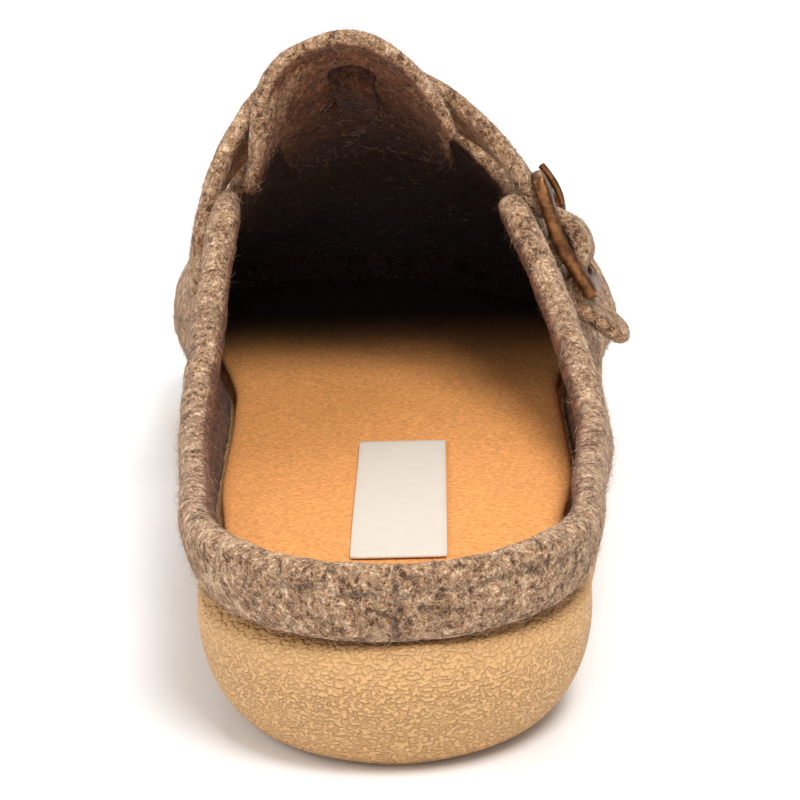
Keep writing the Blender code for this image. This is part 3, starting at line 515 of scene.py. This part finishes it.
@dataclass(frozen=True)
class Suede:
    """Tan suede with a short nap, with painted shade towards the toe."""

    name: str
    effects: Effects
    base: Colour = from_screen(220, 150, 86)
    dark_from: float = 58.0 * MM
    dark_to: float = 102.0 * MM

    def make(self) -> bpy.types.Material:
        """Build the material.

        Returns:
            The material.
        """
        material, g, shader, where = start_material(self.name, 0.9, 0.08, 0.03)
        tone = self.effects.mottle.use(g, {"Place": where, "Colour": self.base, "Scale": 42.0, "Depth": 0.14})
        nap = self.effects.mottle.use(g, {"Place": where, "Colour": tone.outputs["Colour"], "Scale": 1000.0,
                                          "Depth": 1.3})
        grain = self.effects.grain.use(g, {"Place": where, "Scale": 1300.0, "Crease": 0.3})
        forward = g.add("ShaderNodeSeparateXYZ", {0: where}).outputs[1]
        # Painted shade: the suede's colour is scaled down towards the toe, between dark_from and dark_to
        wear_and_painted_shade = g.step(forward, self.dark_from, self.dark_to, 1.0, 0.04)
        g.plug(shader.inputs["Base Color"], g.vector("SCALE", nap.outputs["Colour"], wear_and_painted_shade))
        g.plug(shader.inputs["Roughness"], g.step(nap.outputs["Value"], 0.3, 0.7, 0.98, 0.84))
        height = g.math("ADD", nap.outputs["Value"], g.math("MULTIPLY", grain.outputs["Height"], 0.3))
        relief(g, shader, height, 0.8, 0.0004)
        return material


@dataclass(frozen=True)
class Woven:
    """Pale woven tape, bare, with a fine over-and-under of warp and weft."""

    name: str
    effects: Effects
    base: Colour = from_screen(220, 208, 193)
    pitch: float = 0.55 * MM
    turn: float = math.radians(1.55)

    def make(self) -> bpy.types.Material:
        """Build the material, its threads along the tape.

        Returns:
            The material.
        """
        material, g, shader, where = start_material(self.name, 0.85, 0.25)
        turned = g.add("ShaderNodeMapping", {"Vector": where, "Rotation": (0.0, 0.0, self.turn)}).outputs[0]
        parts = g.add("ShaderNodeSeparateXYZ", {0: turned})
        waves = [g.math("SINE", g.math("MULTIPLY", parts.outputs[axis], math.tau / self.pitch)) for axis in (0, 1)]
        weave = g.math("MULTIPLY", waves[0], waves[1])
        tone = self.effects.mottle.use(g, {"Place": where, "Colour": self.base, "Scale": 260.0, "Depth": 0.12})
        thread = g.step(weave, -0.9, 0.9, 0.84, 1.04)
        g.plug(shader.inputs["Base Color"], g.vector("SCALE", tone.outputs["Colour"], thread))
        g.plug(shader.inputs["Roughness"], g.step(weave, -1.0, 1.0, 0.92, 0.78))
        relief(g, shader, weave, 0.5, 0.00012)
        return material


@dataclass(frozen=True)
class Bronze:
    """Antiqued bronze: brown in the hollows, brighter where it is rubbed."""

    name: str
    effects: Effects
    base: Colour = from_screen(150, 104, 66)
    brown: Colour = from_screen(74, 48, 32)
    bright: Colour = from_screen(214, 170, 112)

    def make(self) -> bpy.types.Material:
        """Build the material; it reads the piece's field named edge.

        Returns:
            The material.
        """
        material, g, shader, where = start_material(self.name, 0.4, 0.5)
        shader.inputs["Metallic"].default_value = 1.0
        edge = g.add("ShaderNodeAttribute", attribute_name="edge").outputs["Fac"]
        tone = self.effects.mottle.use(g, {"Place": where, "Colour": self.base, "Scale": 420.0, "Depth": 0.5})
        wear_and_painted_shade = g.step(g.math("ADD", edge, g.math("MULTIPLY", tone.outputs["Value"], 0.5)), 0.55, 1.0)
        stain = g.step(tone.outputs["Value"], 0.4, 0.6, 0.75, 0.15)
        colour = g.mix(stain, tone.outputs["Colour"], self.brown)
        g.plug(shader.inputs["Base Color"], g.mix(wear_and_painted_shade, colour, self.bright))
        g.plug(shader.inputs["Roughness"], g.step(wear_and_painted_shade, 0.0, 1.0, 0.46, 0.28))
        relief(g, shader, tone.outputs["Value"], 0.2, 0.0002)
        return material


@dataclass(frozen=True)
class Finishes:
    """Every finish of the slipper, made once."""

    wool: bpy.types.Material
    fibres: dict[Tone, bpy.types.Material]
    crepe: bpy.types.Material
    suede: bpy.types.Material
    woven: bpy.types.Material
    bronze: bpy.types.Material

    @classmethod
    def make(cls) -> "Finishes":
        """Build all the materials.

        Returns:
            The finishes.
        """
        effects = Effects()
        tones = {Tone.PALE: from_screen(228, 196, 164), Tone.TAN: from_screen(168, 129, 95),
                 Tone.BROWN: from_screen(96, 64, 43)}
        fibres = {tone: WoolFibre(f"wool_fibre_{tone.value}", colour, effects).make()
                  for tone, colour in tones.items()}
        return cls(Wool("wool_felt", effects).make(), fibres, Crepe("crepe_rubber", effects).make(),
                   Suede("tan_suede", effects).make(), Woven("woven_tape", effects).make(),
                   Bronze("antiqued_bronze", effects).make())


@dataclass
class Piece:
    """A detailed piece that takes the place of one CAD node."""

    node: str
    name: str
    slot: Slot
    levels: int = 2
    crease: float = 0.0
    crease_angle: float = math.radians(40)
    bevel: float = 0.0

    def base(self) -> bpy.types.Object:
        """Copy the CAD node's mesh, merge its points, join its triangles and smooth it.

        Returns:
            A new object at the origin, with its place in its mesh.
        """
        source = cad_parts[self.node]
        work = bmesh.new()
        work.from_mesh(source.data)
        bmesh.ops.remove_doubles(work, verts=work.verts, dist=1e-6)
        bmesh.ops.join_triangles(work, faces=work.faces, cmp_seam=False, cmp_sharp=False, cmp_uvs=False,
                                 cmp_vcols=False, cmp_materials=False, angle_face_threshold=math.radians(50),
                                 angle_shape_threshold=math.radians(80))
        layer = work.edges.layers.float.get("crease_edge") or work.edges.layers.float.new("crease_edge")
        sharp = [edge for edge in work.edges
                 if len(edge.link_faces) == 2 and edge.calc_face_angle() > self.crease_angle]
        for edge in sharp:
            edge[layer] = self.crease
        if self.bevel:
            bmesh.ops.bevel(work, geom=sharp, offset=self.bevel, offset_type="OFFSET", affect="EDGES", segments=2,
                            profile=0.5, material=-1, clamp_overlap=True)
        mesh = bpy.data.meshes.new(self.name)
        work.to_mesh(mesh)
        work.free()
        rough = bpy.data.objects.new(self.name, mesh)
        bpy.context.scene.collection.objects.link(rough)
        smooth = rough.modifiers.new("smooth", "SUBSURF")
        smooth.levels = smooth.render_levels = self.levels
        return settle(rough)

    def dress(self, piece: bpy.types.Object, material: bpy.types.Material) -> None:
        """Give the finished piece its material and its body, and hide its CAD node."""
        dress(piece, material)
        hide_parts(self.node)


def settle(piece: bpy.types.Object) -> bpy.types.Object:
    """Apply a piece's modifiers to its mesh and smooth its shading.

    Args:
        piece: The object with its modifiers.

    Returns:
        The same object, without modifiers.
    """
    graph = bpy.context.evaluated_depsgraph_get()
    graph.update()
    mesh = bpy.data.meshes.new_from_object(piece.evaluated_get(graph))
    piece.modifiers.clear()
    old = piece.data
    piece.data = mesh
    bpy.data.meshes.remove(old)
    mesh.name = piece.name
    mesh.shade_smooth()
    return piece


def dress(piece: bpy.types.Object, material: bpy.types.Material) -> None:
    """Give a piece one material and its body.

    Args:
        piece: The finished piece.
        material: Its material.
    """
    piece.data.materials.clear()
    piece.data.materials.append(material)
    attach(piece, "root")
    log.info("%s: %d faces", piece.name, len(piece.data.polygons))


def points(mesh: bpy.types.Mesh) -> np.ndarray:
    """Read the places of a mesh's points.

    Args:
        mesh: The mesh.

    Returns:
        Rows of x, y and z.
    """
    flat = np.empty(len(mesh.vertices) * 3)
    mesh.vertices.foreach_get("co", flat)
    return flat.reshape(-1, 3)


def normals(mesh: bpy.types.Mesh) -> np.ndarray:
    """Read the normals at a mesh's points.

    Args:
        mesh: The mesh.

    Returns:
        Rows of x, y and z, each of length one.
    """
    flat = np.empty(len(mesh.vertices) * 3)
    mesh.vertex_normals.foreach_get("vector", flat)
    return flat.reshape(-1, 3)


def move(mesh: bpy.types.Mesh, where: np.ndarray) -> None:
    """Put a mesh's points at new places."""
    mesh.vertices.foreach_set("co", where.ravel())
    mesh.update()


def keep_field(mesh: bpy.types.Mesh, name: str, values: np.ndarray) -> None:
    """Store a value for each point, which a material reads by its name."""
    layer = mesh.attributes.new(name, "FLOAT", "POINT")
    layer.data.foreach_set("value", values.astype(np.float32))


def rolling(where: np.ndarray, size: float, seed: float) -> np.ndarray:
    """Return smooth random values between -1 and 1 at the given places.

    Args:
        where: Places, one in each row.
        size: Width of a lump, in metres.
        seed: Shifts the pattern.

    Returns:
        One value for each place.
    """
    shift = Vector((seed, seed * 0.7, seed * 1.3))
    return np.array([noise.noise(Vector(row) / size + shift) for row in where])


def smooth_part(value: np.ndarray, low: float, high: float) -> np.ndarray:
    """Return a smooth step of values between two limits."""
    part = np.clip((value - low) / (high - low), 0, 1)
    return part * part * (3 - 2 * part)


def facing_foot(where: np.ndarray, up: np.ndarray, low: float, high: float) -> np.ndarray:
    """Return how far each point faces the foot's long axis.

    Args:
        where: Places, one in each row.
        up: The normals there.
        low: Share of facing that still counts as nought.
        high: Share of facing that counts as one.

    Returns:
        One inside, nought outside.
    """
    along = np.clip(where[:, 1], -90 * MM, 85 * MM)
    axis = np.stack([np.full(len(where), -5 * MM), along, np.full(len(where), 34 * MM)], axis=1)
    out = where - axis
    out /= np.linalg.norm(out, axis=1, keepdims=True) + 1e-9
    return smooth_part(-(out * up).sum(axis=1), low, high)


@dataclass
class Lumps:
    """The unevenness of a felt surface: its fluff, broad swells and small lumps."""

    fluff: float = 0.3 * MM
    swell: float = 0.35 * MM
    swell_size: float = 17 * MM
    lump: float = 0.28 * MM
    lump_size: float = 4.5 * MM
    seed_step: float = 9

    def apply(self, mesh: bpy.types.Mesh, seed: float) -> None:
        """Push the points of a mesh along their normals.

        Args:
            mesh: The felt mesh.
            seed: Shifts the pattern.
        """
        where = points(mesh)
        broad = self.swell * rolling(where, self.swell_size, seed)
        small = self.lump * rolling(where, self.lump_size, seed + self.seed_step)
        push = broad + small + self.fluff
        move(mesh, where + normals(mesh) * push[:, None])


@dataclass
class Nap:
    """Loose wool ends that curl off a felt piece, each a thin closed spike."""

    shares: dict[Tone, int]
    length: float = 2.6 * MM
    thickness: float = 0.075 * MM
    lift: float = 0.42
    length_spread: tuple[float, float] = (0.45, 1.35)
    tilt_spread: tuple[float, float] = (0.15, 1.6)
    tilt_power: float = 1.5
    curl_spread: float = 0.55
    droop: float = 0.18
    seed: int = 1

    def spike(self, name: str, count: int) -> bpy.types.Object:
        """Make one spike with a ring at its middle, and repeat it.

        Args:
            name: Name of the piece.
            count: How many spikes there are.

        Returns:
            The repeated spikes, all one length long along z, as one object.
        """
        work = bmesh.new()
        bmesh.ops.create_cone(work, cap_ends=True, segments=3, radius1=1.0, radius2=0.0, depth=1.0)
        bmesh.ops.translate(work, verts=work.verts, vec=(0, 0, 0.5))
        bmesh.ops.remove_doubles(work, verts=work.verts, dist=1e-6)
        sides = [edge for edge in work.edges if abs(edge.verts[0].co.z - edge.verts[1].co.z) > 0.5]
        bmesh.ops.subdivide_edges(work, edges=sides, cuts=1)
        bmesh.ops.recalc_face_normals(work, faces=work.faces)
        mesh = bpy.data.meshes.new(name)
        work.to_mesh(mesh)
        work.free()
        piece = bpy.data.objects.new(name, mesh)
        bpy.context.scene.collection.objects.link(piece)
        rows = piece.modifiers.new("rows", "ARRAY")
        rows.count = count
        rows.use_relative_offset = False
        return settle(piece)

    def roots(self, base: bpy.types.Mesh, weight: np.ndarray, count: int,
              chance: np.random.Generator) -> tuple[np.ndarray, np.ndarray]:
        """Choose where the spikes grow.

        Args:
            base: The felt mesh.
            weight: How thickly they grow at each point of it.
            count: How many places to choose.
            chance: The source of random numbers.

        Returns:
            The places and the normals there.
        """
        base.calc_loop_triangles()
        corners = np.empty(len(base.loop_triangles) * 3, dtype=np.int64)
        base.loop_triangles.foreach_get("vertices", corners)
        corners = corners.reshape(-1, 3)
        where, up = points(base), normals(base)
        a, b, c = (where[corners[:, k]] for k in range(3))
        area = np.linalg.norm(np.cross(b - a, c - a), axis=1) * weight[corners].mean(axis=1)
        chosen = chance.choice(len(corners), size=count, p=area / area.sum())
        s, t = chance.random((2, count))
        flip = s + t > 1
        s[flip], t[flip] = 1 - s[flip], 1 - t[flip]
        share = np.stack([1 - s - t, s, t], axis=1)[:, :, None]
        spot = (where[corners[chosen]] * share).sum(axis=1)
        rise = (up[corners[chosen]] * share).sum(axis=1)
        return spot, rise / np.linalg.norm(rise, axis=1, keepdims=True)

    def grow(self, base: bpy.types.Object, weight: np.ndarray, fibres: dict[Tone, bpy.types.Material]) -> None:
        """Grow the spikes of every tone on a felt piece and dress them.

        Args:
            base: The felt piece.
            weight: How thickly they grow at each of its points.
            fibres: The material of each tone.
        """
        for order, (tone, count) in enumerate(self.shares.items()):
            chance = np.random.default_rng(self.seed * 10 + order)
            piece = self.spike(f"{base.name}_wool_{tone.value}", count)
            local = points(piece.data).reshape(count, -1, 3)
            spot, rise = self.roots(base.data, weight, count, chance)
            side = np.cross(rise, chance.normal(size=(count, 3)))
            side /= np.linalg.norm(side, axis=1, keepdims=True)
            along = np.cross(side, rise)
            length = self.length * chance.uniform(*self.length_spread, count)[:, None]
            tilt = (self.lift * chance.uniform(*self.tilt_spread, count) ** self.tilt_power)[:, None]
            curl = chance.normal(0, self.curl_spread, count)[:, None]
            run = local[:, :, 2:3]
            lean = (along * np.cos(tilt) + rise * np.sin(tilt))[:, None, :]
            line = spot[:, None, :] - rise[:, None, :] * self.thickness + lean * (length[:, None, :] * run)
            line = line + side[:, None, :] * (length * curl)[:, None, :] * run ** 2
            line = line - rise[:, None, :] * (length * self.droop)[:, None, :] * run ** 2
            thick = self.thickness * 0.5
            line = line + thick * (local[:, :, 0:1] * side[:, None, :] + local[:, :, 1:2] * rise[:, None, :])
            move(piece.data, line.reshape(-1, 3))
            dress(piece, fibres[tone])


@dataclass
class Upper:
    """The felt upper: vamp, quarters and heel band in one wall."""

    finishes: Finishes
    collar_middle: tuple[float, float] = (0.0, -55 * MM)
    rim_swell: float = 0.4 * MM
    quarter_swell: float = 0.6 * MM
    rim_lift: float = 0.9 * MM
    rim_band: tuple[float, float] = (3 * MM, 14 * MM)
    quarter_end: tuple[float, float] = (22 * MM, 29 * MM)
    quarter_run: tuple[float, float] = (-70 * MM, -10 * MM)
    lift_run: tuple[float, float] = (60 * MM, 100 * MM)
    heel_run: tuple[float, float] = (92 * MM, 106 * MM)
    heel_half: tuple[float, float] = (24 * MM, 38 * MM)
    crease_depth: float = 0.45 * MM
    crease_below: float = 4.2 * MM
    crease_width: float = 1.3 * MM
    tab_middle: float = -9.7 * MM
    tab_half: float = 9 * MM
    tab_run: tuple[float, float] = (20 * MM, 45 * MM)
    tab_height: tuple[float, float] = (70 * MM, 99 * MM)
    tab_turn: float = 0.2
    deep_run: tuple[float, float] = (5 * MM, 60 * MM)
    low_edge: tuple[float, float] = (26 * MM, 34 * MM)
    inner_thinning: float = 0.85
    low_edge_wool: float = 1.5
    ring_cells: int = 120
    side_from: float = -60 * MM
    side_step: float = 3 * MM
    side_cells: int = 61
    side_middle: float = -5 * MM
    side_switch: float = -50 * MM
    lumps: Lumps = field(default_factory=Lumps)
    nap: Nap = field(default_factory=lambda: Nap({Tone.PALE: 8000, Tone.TAN: 9000, Tone.BROWN: 5000}, seed=3))

    def below_rim(self, where: np.ndarray) -> np.ndarray:
        """Measure how far each point lies below the collar's rim, by its angle round the heel or its place along.

        Args:
            where: The upper's points.

        Returns:
            Metres below the rim.
        """
        angle = np.arctan2(where[:, 0] - self.collar_middle[0], -(where[:, 1] - self.collar_middle[1]))
        cells = self.ring_cells
        cell = np.clip(((angle + math.pi) / math.tau * cells).astype(int), 0, cells - 1)
        top = np.zeros(cells)
        np.maximum.at(top, cell, where[:, 2])
        ring = np.concatenate([top[-3:], top, top[:3]])
        top = np.convolve(ring, np.ones(5) / 5, "same")[3:-3]
        place = (angle + math.pi) / math.tau * cells - 0.5
        behind = np.interp(place, np.arange(cells), top) - where[:, 2]
        row = np.clip(((where[:, 1] - self.side_from) / self.side_step).astype(int), 0, self.side_cells - 1)
        centre = self.side_from + (np.arange(self.side_cells) + 0.5) * self.side_step
        beside = np.zeros(len(where))
        for side in (where[:, 0] < self.side_middle, where[:, 0] >= self.side_middle):
            crown = np.zeros(self.side_cells)
            np.maximum.at(crown, row[side], where[side, 2])
            beside[side] = np.interp(where[side, 1], centre, crown) - where[side, 2]
        return np.where(where[:, 1] > self.side_switch, beside, behind)

    def tab_end(self, where: np.ndarray, up: np.ndarray) -> np.ndarray:
        """Find the tab's end on the tongue's inner side, which gets the inner side's painted shade.

        Args:
            where: The upper's points.
            up: The normals there.

        Returns:
            True for each point of the tab's end.
        """
        across = np.abs(where[:, 0] - self.tab_middle) < self.tab_half
        along = (where[:, 1] > self.tab_run[0]) & (where[:, 1] < self.tab_run[1])
        high = (where[:, 2] > self.tab_height[0]) & (where[:, 2] < self.tab_height[1])
        return across & along & high & (up[:, 1] < self.tab_turn)

    def build(self) -> None:
        """Build the upper and its loose fibres."""
        part = Piece("upper", "felt_upper", Slot.FELT)
        piece = part.base()
        self.lumps.apply(piece.data, 2.0)
        where, up = points(piece.data), normals(piece.data)
        inner = facing_foot(where, up, 0.15, 0.6)
        below = self.below_rim(where)
        heel = smooth_part(-where[:, 1], *self.heel_run) * (1 - inner)
        heel = heel * (1 - smooth_part(np.abs(where[:, 0]), *self.heel_half))
        inner = np.where(self.tab_end(where, up), 1.0, inner)
        groove = self.crease_depth * np.exp(-((below - self.crease_below) / self.crease_width) ** 2) * heel
        near_rim = smooth_part(-below, -self.rim_band[1], -self.rim_band[0])
        near_rim = near_rim * smooth_part(-where[:, 1], -self.quarter_end[1], -self.quarter_end[0])
        swell = self.rim_swell + self.quarter_swell * smooth_part(where[:, 1], *self.quarter_run)
        moved = where + up * (swell * near_rim - groove)[:, None]
        moved[:, 2] += self.rim_lift * near_rim * smooth_part(-where[:, 1], *self.lift_run)
        move(piece.data, moved)
        # inner and deep place painted shade on the side facing the foot, deeper in the toe
        keep_field(piece.data, "inner", inner)
        keep_field(piece.data, "deep", inner * smooth_part(where[:, 1], *self.deep_run))
        keep_field(piece.data, "below", below)
        keep_field(piece.data, "heel", heel)
        part.dress(piece, self.finishes.wool)
        low = smooth_part(-where[:, 2], -self.low_edge[1], -self.low_edge[0])
        weight = 1 - self.inner_thinning * inner + self.low_edge_wool * low * (1 - inner)
        self.nap.grow(piece, weight, self.finishes.fibres)


@dataclass
class Tongue:
    """The felt tongue, with painted shade on its inner side, so that its rim reads lighter."""

    finishes: Finishes
    lumps: Lumps = field(default_factory=lambda: Lumps(swell=0.2 * MM, lump=0.16 * MM))
    nap: Nap = field(default_factory=lambda: Nap({Tone.PALE: 1300, Tone.TAN: 1700, Tone.BROWN: 1500}, seed=5))
    deep_run: tuple[float, float] = (34 * MM, 66 * MM)

    def build(self) -> None:
        """Build the tongue and its loose fibres."""
        part = Piece("tongue", "felt_tongue", Slot.FELT)
        piece = part.base()
        self.lumps.apply(piece.data, 4.0)
        where, up = points(piece.data), normals(piece.data)
        inner = facing_foot(where, up, 0.25, 0.7)
        # Painted shade on the side facing the foot, deeper towards the toe
        keep_field(piece.data, "inner", inner)
        keep_field(piece.data, "deep", inner * smooth_part(where[:, 1], *self.deep_run))
        keep_field(piece.data, "below", np.full(len(where), 0.05))
        keep_field(piece.data, "heel", np.zeros(len(where)))
        part.dress(piece, self.finishes.wool)
        self.nap.grow(piece, 1 - 0.5 * inner, self.finishes.fibres)


@dataclass
class InstepStrap:
    """The felt strap over the instep, with the two felt loops that hold the buckle's pin."""

    finishes: Finishes
    lumps: Lumps = field(default_factory=lambda: Lumps(fluff=0.55 * MM, swell=0.12 * MM, lump=0.16 * MM))
    nap: Nap = field(default_factory=lambda: Nap({Tone.PALE: 2000, Tone.TAN: 2400, Tone.BROWN: 1400}, seed=7))
    sewn_rear: tuple[float, float] = (30.0 * MM, 12.5 * MM)
    sewn_front: tuple[float, float] = (54.0 * MM, 17.0 * MM)
    sewn_reach: float = 6.0 * MM
    crest_depth: float = 8 * MM

    def felt(self, node: str, name: str, seed: float) -> bpy.types.Object:
        """Build one felt piece without an inner side.

        Args:
            node: The CAD node that it replaces.
            name: Name of the piece.
            seed: Shifts its lumps.

        Returns:
            The dressed piece.
        """
        part = Piece(node, name, Slot.FELT)
        piece = part.base()
        self.lumps.apply(piece.data, seed)
        for label, value in (("inner", 0.0), ("deep", 0.0), ("below", 0.05), ("heel", 0.0)):
            keep_field(piece.data, label, np.full(len(piece.data.vertices), value))
        part.dress(piece, self.finishes.wool)
        return piece

    def build(self) -> None:
        """Build the strap with its fibres, then the loops."""
        strap = self.felt("instep_strap", "felt_strap", 6.0)
        where = points(strap.data)
        middle = where[where[:, 2] > where[:, 2].max() - self.crest_depth, 0].mean()
        along, across = zip(self.sewn_rear, self.sewn_front)
        off = (np.abs(where[:, 0] - middle) - np.interp(where[:, 1], along, across)) / self.sewn_reach
        keep_field(strap.data, "sewn", 0.5 + np.clip(off, -0.45, 0.45))
        self.nap.grow(strap, np.ones(len(strap.data.vertices)), self.finishes.fibres)
        self.felt("buckle_loop_rear", "felt_loop_rear", 11.0)
        self.felt("buckle_loop_front", "felt_loop_front", 13.0)


@dataclass
class Buckle:
    """The bronze buckle: a bowed frame, its pin and its prong."""

    finishes: Finishes
    rub: float = 0.35
    fuller: float = 0.75 * MM
    bevel: float = 0.22 * MM

    def build(self) -> None:
        """Build the frame, the pin and the prong."""
        for node, name in (("buckle_frame", "bronze_frame"), ("buckle_pin", "bronze_pin"),
                           ("buckle_prong", "bronze_prong")):
            part = Piece(node, name, Slot.BRONZE, bevel=self.bevel)
            piece = part.base()
            where, up = points(piece.data), normals(piece.data)
            if node == "buckle_frame":
                where = where + up * self.fuller
                move(piece.data, where)
            keep_field(piece.data, "edge", self.rubbed(piece.data, where, up))
            part.dress(piece, self.finishes.bronze)

    def rubbed(self, mesh: bpy.types.Mesh, where: np.ndarray, up: np.ndarray) -> np.ndarray:
        """Measure how much each point stands out along an edge, from how its neighbours fall away.

        Args:
            mesh: The metal mesh.
            where: Its points.
            up: The normals there.

        Returns:
            Nought on a flat, one where it is rubbed bright.
        """
        pairs = np.empty(len(mesh.edges) * 2, dtype=np.int64)
        mesh.edges.foreach_get("vertices", pairs)
        pairs = pairs.reshape(-1, 2)
        bend, count = np.zeros(len(where)), np.zeros(len(where))
        for first, second in ((0, 1), (1, 0)):
            run = where[pairs[:, second]] - where[pairs[:, first]]
            run /= np.linalg.norm(run, axis=1, keepdims=True) + 1e-12
            np.add.at(bend, pairs[:, first], -(run * up[pairs[:, first]]).sum(axis=1))
            np.add.at(count, pairs[:, first], 1)
        return np.clip(bend / count / self.rub, 0, 1)


@dataclass
class SoleUnit:
    """What the upper stands on: the moulded sole, the suede insole and the woven tape on it."""

    finishes: Finishes
    tape_flat: tuple[float, float] = (0.0182, 0.085)

    def build(self) -> None:
        """Build the sole, the insole and the tape."""
        sole = Piece("outsole", "crepe_sole", Slot.SOLE, levels=3)
        sole.dress(sole.base(), self.finishes.crepe)
        bed = Piece("insole", "suede_insole", Slot.SUEDE)
        bed.dress(bed.base(), self.finishes.suede)
        label = Piece("insole_label", "woven_tape", Slot.WOVEN, crease=0.9)
        tape = label.base()
        label.dress(tape, self.finishes.woven)


@dataclass
class Viewpoint:
    """The camera at the photograph's angle to the shoe."""

    azimuth: float = math.radians(-0.20)
    elevation: float = math.radians(16.09)
    roll: float = math.radians(-1.54)
    distance: float = 699.5 * MM
    focus: float = 1629.5
    frame_width: float = 400.0
    target: Place = (-5.1355 * MM, 0.0, 40 * MM)
    aim: Place = (5.0 * MM, 0.0, -7.5 * MM)

    def build(self) -> None:
        """Make the camera and set it as the scene's."""
        back = Vector((math.sin(self.azimuth) * math.cos(self.elevation),
                       -math.cos(self.azimuth) * math.cos(self.elevation), math.sin(self.elevation)))
        target = Vector(self.target)
        place = target + back * self.distance
        ahead = (target + Vector(self.aim) - place).normalized()
        right = ahead.cross(Vector((0, 0, 1))).normalized()
        up = right.cross(ahead)
        turned = right * math.cos(self.roll) + up * math.sin(self.roll)
        raised = up * math.cos(self.roll) - right * math.sin(self.roll)
        data = bpy.data.cameras.new("camera")
        data.sensor_fit = "HORIZONTAL"
        data.sensor_width = 36.0
        data.lens = self.focus / self.frame_width * data.sensor_width
        data.clip_start = 0.01
        camera = bpy.data.objects.new("camera", data)
        axes = Matrix((turned, raised, -ahead)).transposed().to_4x4()
        camera.matrix_world = Matrix.Translation(place) @ axes
        bpy.context.scene.collection.objects.link(camera)
        bpy.context.scene.camera = camera


@dataclass(frozen=True)
class Lamp:
    """One square soft light that faces the shoe."""

    name: str
    place: Place
    size: float
    power: float
    faces: Place = (0, 0, 0.04)

    def build(self) -> None:
        """Add the light to the scene."""
        data = bpy.data.lights.new(self.name, "AREA")
        data.size = self.size
        data.energy = self.power
        lamp = bpy.data.objects.new(self.name, data)
        way = Vector(self.faces) - Vector(self.place)
        lamp.matrix_world = Matrix.Translation(self.place) @ way.to_track_quat("-Z", "Y").to_matrix().to_4x4()
        bpy.context.scene.collection.objects.link(lamp)


@dataclass
class Studio:
    """A pale floor, an even surround and broad soft lights."""

    floor_size: float = 10.0
    floor_tone: Colour = (0.88, 0.88, 0.88)
    surround: float = 0.4
    lamps: tuple[Lamp, ...] = (
        Lamp("key_light", (0.6, -1.1, 2.3), 1.1, 54.0),
        Lamp("left_light", (-1.7, -0.5, 1.2), 1.4, 17.0),
        Lamp("far_light", (0.2, 1.9, 1.9), 1.8, 34.0),
        Lamp("rear_light", (0.0, -2.6, 0.5), 1.4, 11.0),
    )

    def build(self) -> None:
        """Make the floor, the surround and the lights."""
        work = bmesh.new()
        bmesh.ops.create_grid(work, x_segments=1, y_segments=1, size=self.floor_size / 2)
        mesh = bpy.data.meshes.new("floor")
        work.to_mesh(mesh)
        work.free()
        floor = bpy.data.objects.new("floor", mesh)
        bpy.context.scene.collection.objects.link(floor)
        paint = bpy.data.materials.new("floor_paint")
        paint.use_nodes = True
        shader = paint.node_tree.nodes["Principled BSDF"]
        shader.inputs["Base Color"].default_value = (*self.floor_tone, 1.0)
        shader.inputs["Roughness"].default_value = 0.9
        shader.inputs["Specular IOR Level"].default_value = 0.1
        mesh.materials.append(paint)
        world = bpy.data.worlds.new("surround")
        world.use_nodes = True
        world.node_tree.nodes["Background"].inputs[0].default_value = (1.0, 1.0, 1.0, 1.0)
        world.node_tree.nodes["Background"].inputs[1].default_value = self.surround
        bpy.context.scene.world = world
        bpy.context.scene.view_settings.view_transform = "Standard"
        for lamp in self.lamps:
            lamp.build()


def main() -> None:
    """Build the pieces in order."""
    logging.basicConfig(level=logging.INFO, format="%(name)s: %(message)s")
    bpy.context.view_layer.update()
    finishes = Finishes.make()
    SoleUnit(finishes).build()
    Upper(finishes).build()
    Tongue(finishes).build()
    InstepStrap(finishes).build()
    Buckle(finishes).build()
    Viewpoint().build()
    Studio().build()


if __name__ == "__main__":
    main()
